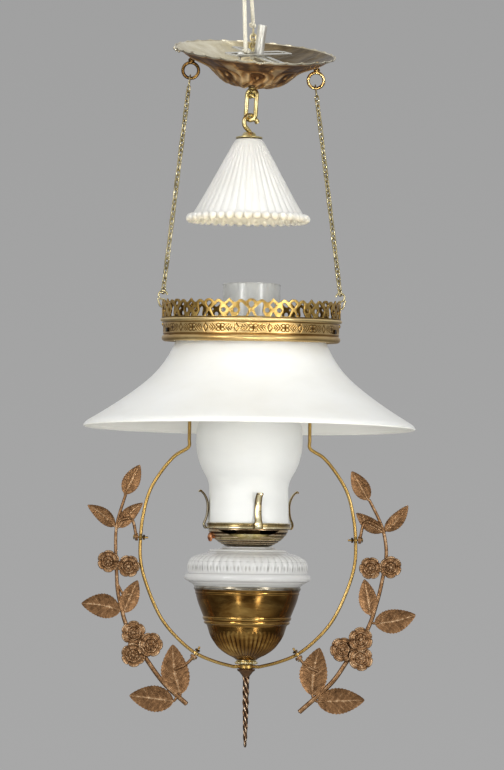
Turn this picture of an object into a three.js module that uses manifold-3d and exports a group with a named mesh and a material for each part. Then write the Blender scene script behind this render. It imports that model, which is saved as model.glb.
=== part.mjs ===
// Hanging library lamp: an oil lamp in a wire harp, hung on two chains from a pressed brass canopy.
// Millimetres, +Z up. The origin is where a ceiling hook bears, at the top inside of the hanging eye.
import * as THREE from "three";
import { mergeVertices } from "three/addons/utils/BufferGeometryUtils.js";
import Module from "manifold-3d";

const wasm = await Module();
wasm.setup();

// Clearances
const seatGap = 0.3; // between pieces that touch
const runningGap = 0.35; // round a pin or a screw in its hole
const overrun = 2; // how far a cutter runs past what it cuts
const mergeTolerance = 0.0001;
const simplifyTolerance = 0.04; // joined pieces lose the slivers that are thinner than this

// Hanging eye, its rope ferrule and the two cords
const lampOffset = 8; // the crooked lamp's axis lies this far to the right of the hanging eye
const eyeInner = 6;
const eyeWire = 2.6;
const ferruleRadius = 6.8;
const ferruleHeight = 10;
const ferruleWaistShare = 0.86;
const cordDiameter = 4.2;
const cordSpacing = 7.4;

// Top chain, from the right cord to the centre hook
const topLinkWire = 2.2;
const topLinkWidth = 7.4;
const topLinkPitch = 4.87;
const topLinkCount = 3;
const topChainDrop = 32.6; // from the ferrule to the first link's upper bar

// Canopy: a pressed saucer that hangs crooked
const canopyDrop = 80.4; // from the origin to the middle of the canopy's rim
const canopyRadius = 80.8;
const canopyDepth = 34;
const canopyWall = 1;
const canopyForward = 6.5;
const canopyPitch = THREE.MathUtils.degToRad(16.5);
const canopyRoll = THREE.MathUtils.degToRad(3.8);
const canopyHole = 3.2;
const canopySides = 26;
const canopyCurveShares = [
  [0.1, 1],
  [0.29, 0.94],
  [0.38, 0.83],
  [0.48, 0.67],
  [0.62, 0.46],
  [0.82, 0.23],
  [1, 0],
];

// Eye bolts of the canopy
const eyeBoltReach = 63.2;
const eyeBoltRadius = 7.9; // to the middle of the wire
const eyeBoltWire = 3.3;
const eyeBoltDrop = 23.7;
const eyeBoltFlange = 3.4;

// Crossbar: two slotted straps on a threaded nipple
const strapLength = 98;
const strapWidth = 18;
const strapThickness = 1.6;
const strapSlotWidth = 5.6;
const strapSlotLength = 36;
const strapSlotPlace = 26.5; // from the nipple to the middle of a slot
const strapUpperAngle = THREE.MathUtils.degToRad(55);
const crossbarRoll = THREE.MathUtils.degToRad(7.5);
const nippleRadius = 4.8;
const nippleBore = 3.4;
const nippleRise = 28;
const nippleFall = 5; // below the locknut
const nippleForward = 8.3;
const nippleRight = 3.7;
const strapDrop = 81.6; // from the origin to the top of the upper strap at the nipple
const locknutHeight = 3.2;
const locknutRadius = 8.2;
const crossbarScrewRadius = 2;
const crossbarScrewHead = 3.9;
const crossbarScrewLength = 9;
const crossbarScrewPlace = 31; // from the nipple
const cordPlace = 22; // from the nipple to the left cord's foot

// Centre hook through the canopy's bottom
const hookStem = 2.1;
const hookLeft = 4;
const hookEyeRadius = 3.3;
const hookEyeWire = 2.4;
const hookCollar = 4.4;
const hookCollarHeight = 2.4;
const hookLinkWire = 4;
const hookLinkHalfWidth = 5.15;
const hookLinkLength = 35;
const hookLinkTurn = THREE.MathUtils.degToRad(-20);

// Smoke bell, its cap and hook
const bellHookWire = 4.2;
const bellHookBend = 7.65;
const bellHookTurn = THREE.MathUtils.degToRad(38);
const bellHookTip = 3.4;
const bellHookArc = [215, 10]; // degrees from the bend's right, over its top
const bellCapRadius = 13.5;
const bellCapHeight = 6.4;
const bellCapFlange = 1.7;
const bellCapDome = 7;
const bellCapDomeShare = 0.76; // of the dome's radius, at its top
const bellStub = 4;
const bellStubLength = 9.4;
const bellNutHeight = 2.6;
const bellNutRadius = 8;
const bellRadius = 60.6;
const bellTopRadius = 12.6;
const bellHeight = 85;
const bellWall = 3;
const bellRibs = 36;
const bellRibDepth = 1.3;
const bellBead = 2;
const bellRimShares = [
  [-1, 3.4],
  [0.5, 2],
  [-0.5, 0],
]; // of the rim in beads, from the bell's radius and its foot

// Suspension chains
const chainDrop = 257.5; // from the middle of the canopy's rim down to the bearing of the S-hooks
const linkWire = 1.5;
const linkWidth = 5.8;
const linkPairs = 13;
const linkContactShare = 0.75;
const jumpWire = 1.7;
const jumpWidth = 8.6;
const jumpLength = 13;
const sHookWire = 1.8;
const sHookLoop = 4.3;
const sHookBend = 3.5;
const sHookStem = 8.4;
const sHookTip = 5.2;
const sHookLoopArc = [-105, 175]; // degrees
const sHookBendArc = [180, 350];

// Shade ring: pierced gallery, bead, band and rolled foot
const ringRadius = 86.4; // inside of the band
const ringWall = 1.2;
const beadRadius = 2.5;
const bandHeight = 10;
const rollRadius = 4.3;
const rollCorners = [60, -5, -70]; // degrees up from the level
const ringSides = 32;
const galleryHeight = 18.4;
const galleryWall = 1.2;
const galleryRepeats = 13;
const gallerySag = 0.2;
const hookBearingShare = 0.6; // the height in the gallery at which an S-hook goes through

// Shade and the catches that carry it
const shadeWall = 3.2;
const shadeLipGap = 9; // between the lip and the inside of the band
const shadeLipWidth = 4.4; // how far the lip stands out from the neck
const shadeLipHeight = 3;
const shadeRimRadius = 166;
const shadeHeight = 98.3;
const catchWidth = 5.4;
const catchThickness = 1.5;
const catchReach = 10.5;
const catchDrop = 6.6;
const catchAngles = [70, 110, 250, 290];
const shadeCurveShares = [
  [0, 0],
  [0.1, 0.016],
  [0.24, 0.086],
  [0.4, 0.2],
  [0.6, 0.425],
  [0.8, 0.71],
  [0.91, 0.93],
  [0.98, 1],
];

// Harp: a sprung wire frame whose ends turn in the band
const harpWire = 3.4;
const harpHalfWidth = 108;
const harpHalfHeight = 119;
const harpDrop = 221.6; // from the harp's pivots to its widest place
const harpShoulderShare = 0.9; // where the straight arms end, in shares of the half height
const harpNeckGap = 8; // between the arm's wire and the inside of the shade's neck
const harpStub = 1.4; // how far the ends stand out of the band
const harpCornerRadius = 6;
const harpCurveShares = [
  [0.56, 0.835],
  [0.688, 0.756],
  [0.824, 0.605],
  [0.917, 0.454],
  [0.975, 0.24],
  [0.993, 0.07],
  [0.99, -0.12],
  [0.94, -0.303],
  [0.79, -0.605],
  [0.625, -0.78],
  [0.466, -0.893],
  [0.29, -0.96],
  [0.12, -1],
];
const harpEyeRadius = 7.6;
const harpEyeThickness = 3.8;
const boltEyeRadius = 3.4;
const boltEyeThickness = 2.6;

// Bowl, collar, centre bolt and finial
const bowlRadius = 53;
const bowlHeight = 72.6;
const bowlNeck = 10.4;
const bowlWall = 1.3;
const bowlFlutes = 18;
const fluteDepthShare = 0.07;
const fluteWallShare = 1.7; // the flutes' hollows keep the wall where it slopes
const bowlInsideRows = [0, 2, 4, 6, 8]; // the rows of the bowl's curve that its inside follows
const bowlCurveShares = [
  [0, 1],
  [0.03, 1],
  [0.14, 0.95],
  [0.32, 0.86],
  [0.38, 0.81],
  [0.48, 0.77],
  [0.54, 0.72],
  [0.66, 0.68],
  [0.8, 0.57],
  [0.91, 0.38],
  [0.96, 0.23],
];
const firstFlutedShare = 0.5;
const collarHeight = 4.4;
const collarRadius = 11.6;
const centreBoltRadius = 2.6;
const centreBoltHead = 5;
const centreBoltHeadHeight = 3;
const centreBoltGrip = 8; // the thread inside the finial
const finialTop = 9;
const finialRod = 3.1;
const finialTip = 1.5;
const finialConeHeight = 12;
const finialConeShares = [
  [0.55, 0.65],
  [1, 0.12],
  [0.9, 0],
]; // of the cone's radius, and of its height from the top
const finialLength = 78;
const finialTwists = 8;

// Oil font, of pressed glass
const fontRadius = 63.5;
const fontShoulder = 59.5;
const fontStep = 39.4;
const fontNeck = 14;
const fontWall = 4.5;
const fontHeight = 41.8; // from the bowl's rim to the top of the step
const fontFoot = 42;
const fontFootDepth = 13.6;
const fontLedgeOverhang = 5.4; // of the glass outside the bowl's rim
const fontOuterShares = [
  ["step", 0.9, 0.06],
  ["step", 0.96, 0],
  ["step", 1, 0.14],
  ["shoulder", 0.92, 0.29],
  ["shoulder", 1, 0.43],
  ["shoulder", 1, 0.6],
  ["roll", 1, 0.73],
]; // which radius, the share of it, and the share of the height from the top
const fontSides = 24;
const collarSeatDepth = 8.6; // of the recess in which the burner's collar sits
const fontCollarRadius = 16.4;
const fontCollarHeight = 4.6;

// Burner
const basketRadius = 39.6;
const basketDepth = 18.6;
const basketWall = 1.1;
const basketSkirt = 13.3;
const basketSkirtDepth = 9;
const basketCurveShares = [
  [0, 1],
  [0.2, 0.96],
  [0.5, 0.8],
  [0.8, 0.56],
  [1, 0.36],
];
const windowShare = 0.62; // the width of the basket's open window to the basket's radius
const windowHeight = 7.5;
const burnerRingGap = 4; // between the chimney's foot and the ring's outside
const burnerRingHeight = 7;
const burnerRingWall = 1.2;
const prongCount = 4;
const prongWidth = 7;
const prongThickness = 1.1;
const prongHeight = 40.5;
const prongTurn = THREE.MathUtils.degToRad(8);
const prongFootShares = [
  [0.7, 0.14],
  [0.4, 0.34],
]; // out from the ring in ring heights, and up in shares of the prong's height
const prongGripShares = [
  [0.16, 0.62],
  [0.17, 0.74],
  [0.6, 0.9],
  [1.4, 1],
]; // the same, out from the chimney's foot
const domeRadius = 27;
const domeHeight = 24;
const domeFlange = 4;
const domeSlot = 7;
const domeSlotShare = 0.7; // the height in the dome at which the slot begins
const domeCurveShares = [
  [0.93, 0],
  [0.8, 0.5],
  [0.5, 0.85],
  [0.2, 1],
]; // of the dome's radius and height
const wickWidth = 21;
const wickThickness = 2.6;
const wickTubeWall = 0.9;
const wickTubeBelow = 8;
const wickTubeAbove = 20;
const wickDip = 30; // how far the wick hangs below its tube
const wickRise = 2.5;
const knobRadius = 6.2;
const knobThickness = 2.4;
const knobShaft = 1.5;
const knobReach = 56;
const knobAngle = THREE.MathUtils.degToRad(196);
const knobToothShare = 0.88;
const knobTeeth = 12;
const shaftShare = 0.55; // the height of the shaft in the basket

// Chimney
const chimneyFoot = 40.2;
const chimneyArmGap = 5.1; // between its bulge and the harp's arms
const chimneyStack = 28;
const chimneyHeight = 245;
const chimneyWall = 2.2;
const chimneyFootShares = [0, 0.17];
const chimneyBulgeShares = [
  [0.22, 0.35],
  [0.28, 0.8],
  [0.335, 1],
];
const chimneyStackShares = [
  [0.39, 0.93],
  [0.46, 0.6],
  [0.54, 0.25],
  [0.65, 0.04],
  [1, 0],
];

// Leaf and flower sprays, in shares of the harp's half width and half height from its middle
const stemWire = 4.4;
const leafThickness = 1.7;
const leafTeeth = 3;
const leafNotchShare = 0.3; // how far behind its tooth each notch lies, in teeth
const leafToothShare = 1.05;
const leafValleyShare = 0.86;
const leafSwell = 0.8; // under 1 puts the widest place nearer to the stalk
const flowerRadius = 10.4;
const flowerThickness = 3.4;
const flowerHeart = 3.2;
const flowerHeartRise = 0.5;
const petalCount = 5;
const petalValleyShare = 0.8;
const stalkWire = 2.8;
const tabWire = 3;
const tabOffset = 6; // of the tab's bend from the bolt, along the wire
const sprayStemShares = [
  [1.125, 0.425],
  [1.21, 0.24],
  [1.232, 0.06],
  [1.226, -0.15],
  [1.205, -0.33],
  [1.16, -0.52],
  [1.1, -0.68],
  [0.935, -0.93],
  [0.76, -1.15],
  [0.53, -1.335],
];
const sprayLeafShares = [
  { base: [1.13, 0.41], tip: [0.99, 0.69], width: 0.52 },
  { base: [1.24, 0.15], tip: [1.5, 0.345], width: 0.42 },
  { base: [1.21, 0.15], tip: [0.998, 0.335], width: 0.42 },
  { base: [1.14, -0.575], tip: [1.05, -0.262], width: 0.5 },
  { base: [1.15, -0.585], tip: [1.55, -0.5], width: 0.54 },
  { base: [0.6, -1.255], tip: [0.69, -0.85], width: 0.56 },
  { base: [0.63, -1.275], tip: [1.095, -1.25], width: 0.55 },
];
const sprayFlowerShares = [
  { place: [1.305, -0.14], stem: [1.226, -0.15] },
  { place: [1.115, -0.168], stem: [1.226, -0.15] },
  { place: [1.046, -0.745], stem: [1.1, -0.68] },
  { place: [0.882, -0.835], stem: [0.935, -0.93] },
  { place: [1.046, -0.915], stem: [0.935, -0.93] },
];
const boltShares = [
  { turn: 5, tab: [[1.21, 0.24], [1.085, 0.225]] },
  { turn: 10, tab: [[0.57, -1.3], [0.5, -1.17]] },
];
const eyeletRadius = 3.6;
const eyeletThickness = 3.2;
const boltRadius = 1.25;
const boltHeadRadius = 2.7;
const boltHeadHeight = 1.7;
const boltNutRadius = 2.9;
const boltNutHeight = 2.1;
const boltEnd = 3.2;

// Pattern of the gallery: one repeat, from the middle of its diamond to the crossing beside it,
// in shares of half a repeat's width and of the gallery's height
const galleryTopShares = [
  [0, 1],
  [0.34, 0.75],
  [0.43, 0.91],
  [0.6, 0.94],
  [0.8, 0.78],
  [0.88, 0.93],
];
const galleryCrossingShares = [
  [1, 0],
  [1, 0.06],
  [0.86, 0.06],
  [1, 0.27],
  [1, 0.5],
  [0.89, 0.68],
  [1, 0.86],
];
const galleryDiamondShares = [
  [-0.15, 0.66],
  [0, 0.52],
  [0.15, 0.66],
  [0, 0.82],
];
const galleryArchShares = [
  [-0.1, 0.06],
  [0.1, 0.06],
  [0, 0.25],
];
const galleryLoopShares = [
  [0.12, 0.32],
  [0.2, 0.16],
  [0.35, 0.22],
  [0.26, 0.45],
];
const galleryCrescentShares = [
  [0.36, 0.06],
  [0.46, 0.27],
  [0.43, 0.58],
  [0.53, 0.76],
  [0.85, 0.41],
  [0.73, 0.06],
];

// Colours
const brass = { color: 0xa98a4b, roughness: 0.35, metalness: 0.9 };
const goldBrass = { color: 0xc7a860, roughness: 0.3, metalness: 0.9 };
const copperBrown = { color: 0x8a5f3f, roughness: 0.5, metalness: 0.7 };
const zinc = { color: 0xb4b6b8, roughness: 0.4, metalness: 0.9 };
const opal = { color: 0xf2f2ee, roughness: 0.2, metalness: 0 };
const crystal = { color: 0xdde4e2, roughness: 0.05, metalness: 0 };
const cotton = { color: 0xe6e2d4, roughness: 0.9, metalness: 0 };

// Keeps only positions, merges the shared corners, drops flat triangles and turns the faces outwards.
function closed(geometry) {
  const loose = geometry.index ? geometry.toNonIndexed() : geometry;
  const bare = new THREE.BufferGeometry();
  bare.setAttribute("position", loose.getAttribute("position"));
  const merged = mergeVertices(bare, mergeTolerance);
  const place = merged.getAttribute("position");
  const all = merged.index.array;
  const kept = [];
  let volume = 0;
  const corner = [0, 1, 2].map(() => new THREE.Vector3());
  for (let i = 0; i < all.length; i += 3) {
    const [a, b, c] = [all[i], all[i + 1], all[i + 2]];
    if (a === b || b === c || c === a) continue;
    kept.push(a, b, c);
    [a, b, c].forEach((v, n) => corner[n].fromBufferAttribute(place, v));
    volume += corner[0].dot(corner[1].cross(corner[2]));
  }
  if (volume < 0) kept.reverse();
  merged.setIndex(kept);
  return merged;
}

function solidOf(geometry) {
  const shell = closed(geometry);
  const vertProperties = shell.getAttribute("position").array;
  const triVerts = new Uint32Array(shell.index.array);
  return new wasm.Manifold(new wasm.Mesh({ numProp: 3, vertProperties, triVerts }));
}

function geometryOf(solid) {
  const mesh = solid.getMesh();
  const places = new Float32Array(mesh.numVert * 3);
  for (let i = 0; i < mesh.numVert; i += 1) {
    const first = i * mesh.numProp;
    places.set(mesh.vertProperties.subarray(first, first + 3), i * 3);
  }
  const geometry = new THREE.BufferGeometry();
  geometry.setAttribute("position", new THREE.BufferAttribute(places, 3));
  geometry.setIndex(new THREE.BufferAttribute(mesh.triVerts, 1));
  return geometry;
}

function join(...pieces) {
  const joined = pieces.map(solidOf).reduce((all, next) => all.add(next));
  return geometryOf(joined.asOriginal().simplify(simplifyTolerance));
}

function cut(piece, ...cutters) {
  const left = cutters.map(solidOf).reduce((whole, next) => whole.subtract(next), solidOf(piece));
  return geometryOf(left.asOriginal().simplify(simplifyTolerance));
}

// Turns an outline of [radius, z] points round the Z axis.
function turned(outline, segments) {
  const points = outline.map(([radius, z]) => new THREE.Vector2(radius, z));
  const first = points[0];
  const onAxis = first.x === 0 && points.at(-1).x === 0;
  if (!onAxis) points.push(first.clone());
  return closed(new THREE.LatheGeometry(points, segments).rotateX(Math.PI / 2));
}

// Moves an open outline sideways by the same distance all along; positive is to its left.
function beside(outline, distance) {
  return outline.map((point, i) => {
    const before = outline[Math.max(i - 1, 0)];
    const after = outline[Math.min(i + 1, outline.length - 1)];
    const way = (from, to) => new THREE.Vector2(to[0] - from[0], to[1] - from[1]).normalize();
    const one = i > 0 ? way(before, point) : way(point, after);
    const two = i < outline.length - 1 ? way(point, after) : one;
    const along = one.clone().add(two).normalize();
    const stretch = distance / Math.max(along.dot(one), 0.5);
    return [point[0] - along.y * stretch, point[1] + along.x * stretch];
  });
}

// A turned shell of even wall from an open outline, with the wall to the outline's left.
function turnedShell(outline, wall, segments) {
  return turned([...outline, ...beside(outline, wall).reverse()], segments);
}

function disc(radius, height, sides) {
  return closed(new THREE.CylinderGeometry(radius, radius, height, sides).rotateX(Math.PI / 2));
}

// A cylinder from z = low to z = high.
function post(radius, low, high, sides) {
  return disc(radius, high - low, sides).translate(0, 0, (low + high) / 2);
}

function washer(inner, outer, low, high, sides) {
  return turned([[inner, low], [outer, low], [outer, high], [inner, high]], sides);
}

// A six-sided nut with a round hole.
function nut(bore, radius, low, high) {
  const shape = new THREE.Shape();
  for (let i = 0; i < 6; i += 1) {
    const turn = (i / 6) * 2 * Math.PI;
    const corner = [radius * Math.cos(turn), radius * Math.sin(turn)];
    if (i === 0) shape.moveTo(...corner);
    else shape.lineTo(...corner);
  }
  const round = new THREE.Path();
  round.absarc(0, 0, bore, 0, 2 * Math.PI);
  shape.holes.push(round);
  const settings = { depth: high - low, bevelEnabled: false, curveSegments: 6 };
  return closed(new THREE.ExtrudeGeometry(shape, settings).translate(0, 0, low));
}

function block(width, depth, height) {
  return new THREE.BoxGeometry(width, depth, height);
}

// A wire of the given diameter through the points, with closed ends and a ring of corners at each of
// the even steps between one point and the next.
function wire(points, diameter, sides, steps) {
  const places = points.map(([x, y, z]) => new THREE.Vector3(x, y, z));
  const curve = new THREE.CatmullRomCurve3(places, false, "centripetal");
  curve.getPointAt = curve.getPoint;
  curve.getTangentAt = curve.getTangent;
  curve.getSpacedPoints = curve.getPoints;
  const shape = new THREE.Shape();
  for (let i = 0; i < sides; i += 1) {
    const turn = ((i + 0.5) / sides) * 2 * Math.PI;
    const [x, y] = [(Math.cos(turn) * diameter) / 2, (Math.sin(turn) * diameter) / 2];
    if (i === 0) shape.moveTo(x, y);
    else shape.lineTo(x, y);
  }
  const settings = { steps: (points.length - 1) * steps, bevelEnabled: false, extrudePath: curve };
  return closed(new THREE.ExtrudeGeometry(shape, settings));
}

function arc(centre, radius, from, to, count) {
  return Array.from({ length: count + 1 }, (_, i) => {
    const turn = THREE.MathUtils.degToRad(from + ((to - from) * i) / count);
    return [centre[0] + radius * Math.cos(turn), 0, centre[1] + radius * Math.sin(turn)];
  });
}

// An oval link in the XZ plane whose upper and lower bars lie apart by the given length.
// The wire's section is turned so that a corner of it faces inwards, where the links bear.
function link(length, width, diameter, sides, steps) {
  const radius = (width - diameter) / 2;
  const ring = new THREE.TorusGeometry(radius, -diameter / 2, sides, steps);
  ring.rotateZ(Math.PI / steps).rotateX(Math.PI / 2);
  const place = ring.getAttribute("position");
  const shift = length / 2 - radius;
  for (let i = 0; i < place.count; i += 1) {
    place.setZ(i, place.getZ(i) + Math.sign(place.getZ(i)) * shift);
  }
  return closed(ring);
}

// Extrudes an outline of [x, z] points along Y, half of the thickness to each side.
function plate(outline, thickness) {
  const shape = new THREE.Shape(outline.map(([x, z]) => new THREE.Vector2(x, z)));
  const made = new THREE.ExtrudeGeometry(shape, { depth: thickness, bevelEnabled: false });
  return closed(made.translate(0, 0, -thickness / 2).rotateX(Math.PI / 2));
}

function mirrored(geometry) {
  return closed(geometry.clone().scale(-1, 1, 1));
}

function piece(name, geometry, finish) {
  const shown = closed(geometry);
  shown.computeVertexNormals();
  const mesh = new THREE.Mesh(shown, new THREE.MeshStandardMaterial(finish));
  mesh.name = name;
  return mesh;
}

const lamp = new THREE.Group();
const hung = new THREE.Group(); // everything on the lamp's own axis
hung.position.x = lampOffset;
lamp.add(hung);

// Hanging eye with a ferrule for the cords
const eyeBottom = -2 * eyeInner - eyeWire;
const ferruleTop = eyeBottom + eyeWire / 2;
const ferruleBottom = ferruleTop - ferruleHeight;

function hangingEye() {
  const ring = new THREE.TorusGeometry(eyeInner + eyeWire / 2, eyeWire / 2, 5, 14);
  ring.rotateX(Math.PI / 2).translate(0, 0, -eyeInner);
  const waist = ferruleRadius * ferruleWaistShare;
  const ferrule = turned(
    [
      [0, ferruleBottom],
      [waist, ferruleBottom],
      [ferruleRadius, ferruleBottom + ferruleRadius - waist],
      [ferruleRadius, ferruleTop - ferruleRadius + waist],
      [waist, ferruleTop],
      [0, ferruleTop],
    ],
    12,
  );
  return join(ring, ferrule);
}

lamp.add(piece("hanging_eye", hangingEye(), zinc));

// Top chain and right cord
const topBar = ferruleBottom - topChainDrop;

function topChain() {
  const bar = topLinkPitch + topLinkWire * linkContactShare;
  const links = [];
  for (let i = 0; i < topLinkCount; i += 1) {
    const oval = link(bar, topLinkWidth, topLinkWire, 4, 8);
    oval.rotateZ((i % 2) * (Math.PI / 2)).translate(0, 0, topBar - i * topLinkPitch - bar / 2);
    links.push(oval);
  }
  return join(...links);
}

const rightCordX = cordSpacing / 2;
const topChainLow = topBar - topLinkCount * topLinkPitch - topLinkWire * linkContactShare;

// Canopy and what it carries
const canopy = new THREE.Group();
canopy.position.set(0, -canopyForward, -canopyDrop);
canopy.rotation.set(canopyPitch, canopyRoll, 0, "YXZ");
hung.add(canopy);

function canopyOutline() {
  return canopyCurveShares.map(([r, z]) => [r * canopyRadius, -z * canopyDepth]);
}

// The height of the canopy's outside at a distance from its middle.
function canopyUnderside(radius) {
  const outline = canopyOutline();
  const next = outline.findIndex(([r]) => r >= radius);
  if (next <= 0) return outline[0][1];
  const [[r0, z0], [r1, z1]] = [outline[next - 1], outline[next]];
  return THREE.MathUtils.mapLinear(radius, r0, r1, z0, z1);
}

function canopyShell() {
  const outline = [[canopyHole, -canopyDepth], ...canopyOutline()];
  const shell = turnedShell(outline, canopyWall, canopySides);
  const holes = [-1, 1].map((side) => {
    const hole = post(eyeBoltWire / 2 + runningGap, -canopyDepth, overrun, 8);
    return hole.translate(side * eyeBoltReach, 0, 0);
  });
  return cut(shell, ...holes);
}

function eyeBolt() {
  const ring = new THREE.TorusGeometry(eyeBoltRadius, eyeBoltWire / 2, 5, 14);
  ring.rotateX(Math.PI / 2).translate(0, 0, -eyeBoltDrop);
  const under = canopyUnderside(eyeBoltReach);
  const slope = canopyUnderside(eyeBoltReach + eyeBoltFlange) - under;
  const flangeTop = under - slope - seatGap;
  const stemTop = under + canopyWall + seatGap + eyeBoltWire;
  const stem = post(eyeBoltWire / 2, eyeBoltRadius - eyeBoltDrop, stemTop, 8);
  const flange = post(eyeBoltFlange, flangeTop - eyeBoltWire / 2, flangeTop, 8);
  return join(ring, stem, flange);
}

canopy.add(piece("canopy", canopyShell(), copperBrown));
const eyeBolts = [-1, 1].map((side) => {
  const mesh = piece(side < 0 ? "eye_bolt_left" : "eye_bolt_right", eyeBolt(), brass);
  mesh.position.x = side * eyeBoltReach;
  canopy.add(mesh);
  return mesh;
});
lamp.updateMatrixWorld(true);

// A point of one object's own frame, in the frame of another.
function carried(from, point, to) {
  return to.worldToLocal(from.localToWorld(new THREE.Vector3(...point)));
}

// Crossbar on its nipple, inside the canopy
const crossbar = new THREE.Group();
crossbar.position.set(nippleRight, -nippleForward, -strapDrop);
crossbar.rotation.set(canopyPitch, crossbarRoll, 0, "YXZ");
hung.add(crossbar);
lamp.updateMatrixWorld(true);

function slottedStrap(hole) {
  const half = strapLength / 2;
  const corner = strapWidth / 4;
  const shape = new THREE.Shape();
  shape.moveTo(corner - half, -strapWidth / 2);
  shape.lineTo(half - corner, -strapWidth / 2);
  shape.lineTo(half, corner - strapWidth / 2);
  shape.lineTo(half, strapWidth / 2 - corner);
  shape.lineTo(half - corner, strapWidth / 2);
  shape.lineTo(corner - half, strapWidth / 2);
  shape.lineTo(-half, strapWidth / 2 - corner);
  shape.lineTo(-half, corner - strapWidth / 2);
  for (const side of [-1, 1]) {
    const slot = new THREE.Path();
    const middle = side * strapSlotPlace;
    const [low, high] = [-1, 1].map((end) => middle + (end * (strapSlotLength - strapSlotWidth)) / 2);
    slot.absarc(high, 0, strapSlotWidth / 2, -Math.PI / 2, Math.PI / 2);
    slot.absarc(low, 0, strapSlotWidth / 2, Math.PI / 2, (3 * Math.PI) / 2);
    shape.holes.push(slot);
  }
  const round = new THREE.Path();
  round.absarc(0, 0, hole, 0, 2 * Math.PI);
  shape.holes.push(round);
  const settings = { depth: strapThickness, bevelEnabled: false, curveSegments: 4 };
  return closed(new THREE.ExtrudeGeometry(shape, settings));
}

// The lower strap is turned so that the centre hook's stem passes through its slot.
const canopyPole = carried(canopy, [0, 0, -canopyDepth], hung);
const stemOnCrossbar = carried(hung, [canopyPole.x, canopyPole.y, -strapDrop], crossbar);
const strapLowerAngle = Math.atan2(stemOnCrossbar.y, stemOnCrossbar.x) - Math.PI;
const strapTop = -strapThickness;
const lowerStrapTop = strapTop - seatGap - strapThickness;
const locknutTop = lowerStrapTop - seatGap;
const upperStrap = piece("crossbar_upper", slottedStrap(nippleRadius + 2 * runningGap), zinc);
upperStrap.position.z = strapTop;
upperStrap.rotation.z = strapUpperAngle;
const lowerStrap = piece("crossbar_lower", slottedStrap(nippleRadius + 2 * runningGap), zinc);
lowerStrap.position.z = lowerStrapTop;
lowerStrap.rotation.z = strapLowerAngle;
crossbar.add(upperStrap, lowerStrap);
lamp.updateMatrixWorld(true);

const nippleBottom = locknutTop - locknutHeight - nippleFall;
crossbar.add(piece("nipple", washer(nippleBore, nippleRadius, nippleBottom, nippleRise, 12), zinc));
const locknutBottom = locknutTop - locknutHeight;
const locknut = nut(nippleRadius + 2 * runningGap, locknutRadius, locknutBottom, locknutTop);
crossbar.add(piece("locknut", locknut, zinc));

function crossbarScrew() {
  const head = post(crossbarScrewHead, seatGap, seatGap + crossbarScrewHead / 2, 10);
  return join(head, post(crossbarScrewRadius, -crossbarScrewLength, seatGap + crossbarScrewHead / 4, 8));
}

// A place on the upper strap at a distance from the nipple, towards the viewer.
function onStrap(distance) {
  return [-distance * Math.cos(strapUpperAngle), -distance * Math.sin(strapUpperAngle), 0];
}

const screw = piece("crossbar_screw", crossbarScrew(), zinc);
screw.position.set(...onStrap(crossbarScrewPlace));
crossbar.add(screw);

// Centre hook, straight down through the canopy's bottom
const tilt = Math.acos(Math.cos(canopyPitch) * Math.cos(canopyRoll));
const hookX = canopyPole.x;
const hookY = canopyPole.y;
const collarTop = canopyPole.z - hookCollar * Math.tan(tilt) - seatGap;
const linkTop = collarTop - hookCollarHeight + hookLinkWire / 2;
const linkBarHigh = linkTop - hookLinkWire / 2;
const linkBarLow = linkTop - hookLinkLength + hookLinkWire / 2;
const hookEyeTop = topChainLow + topLinkWire + seatGap;
const hookEyeMiddle = hookEyeTop - hookEyeRadius + (hookEyeWire - topLinkWire) / 2;

function centreHook() {
  const eye = new THREE.TorusGeometry(hookEyeRadius, hookEyeWire / 2, 5, 12);
  eye.rotateX(Math.PI / 2).translate(0, 0, hookEyeMiddle);
  const stem = post(hookStem, linkBarHigh, hookEyeMiddle - hookEyeRadius, 8);
  const collar = post(hookCollar, collarTop - hookCollarHeight, collarTop, 12);
  const width = 2 * hookLinkHalfWidth + hookLinkWire;
  const loop = link(linkBarHigh - linkBarLow, width, hookLinkWire, 6, 12);
  loop.rotateZ(hookLinkTurn).translate(0, 0, (linkBarHigh + linkBarLow) / 2);
  return join(eye, stem, collar, loop);
}

const hookMesh = piece("centre_hook", centreHook(), brass);
hookMesh.position.set(hookX, hookY, 0);
const topChainMesh = piece("top_chain", topChain(), goldBrass);
topChainMesh.rotation.z = (Math.PI / 2) * (topLinkCount % 2);
topChainMesh.position.set(hookX, hookY, 0);
hung.add(hookMesh, topChainMesh);

// Cords: the right one ends at the top chain, the left one at the upper strap
function cord(foot, side) {
  const top = [(side * cordSpacing) / 2 - foot.x, -foot.y, ferruleBottom - 3 * seatGap - foot.z];
  const straight = wire([[0, 0, 0], top], cordDiameter, 8, 1);
  return straight.translate(foot.x, foot.y, foot.z);
}

const rightFoot = new THREE.Vector3(lampOffset + hookX, hookY, topBar + topLinkWire / 2 + 2 * seatGap);
const leftFoot = carried(crossbar, onStrap(cordPlace), lamp).add(new THREE.Vector3(0, 0, cordDiameter / 3));
lamp.add(piece("cord_left", cord(leftFoot, -1), cotton));
lamp.add(piece("cord_right", cord(rightFoot, 1), cotton));

// Smoke bell on its hook
const bellPivotZ = linkBarLow + hookLinkWire / 2 + bellHookWire / 2 + 3 * seatGap;
const bellCapTop = bellPivotZ - 2 * bellHookBend - bellHookWire / 2;
const bellTop = bellCapTop - bellCapHeight - seatGap;
const bell = new THREE.Group();
bell.position.set(hookX, hookY, 0);
hung.add(bell);

function bellHook() {
  const middle = [0, bellPivotZ - bellHookBend];
  const points = [
    [0, 0, bellCapTop - bellHookWire / 2],
    [0, 0, bellCapTop + bellHookWire / 4],
    ...arc(middle, bellHookBend, ...bellHookArc, 8),
    [bellHookBend + bellHookTip / 2, 0, middle[1] - bellHookTip],
  ];
  return wire(points, bellHookWire, 6, 1).rotateZ(bellHookTurn);
}

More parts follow.
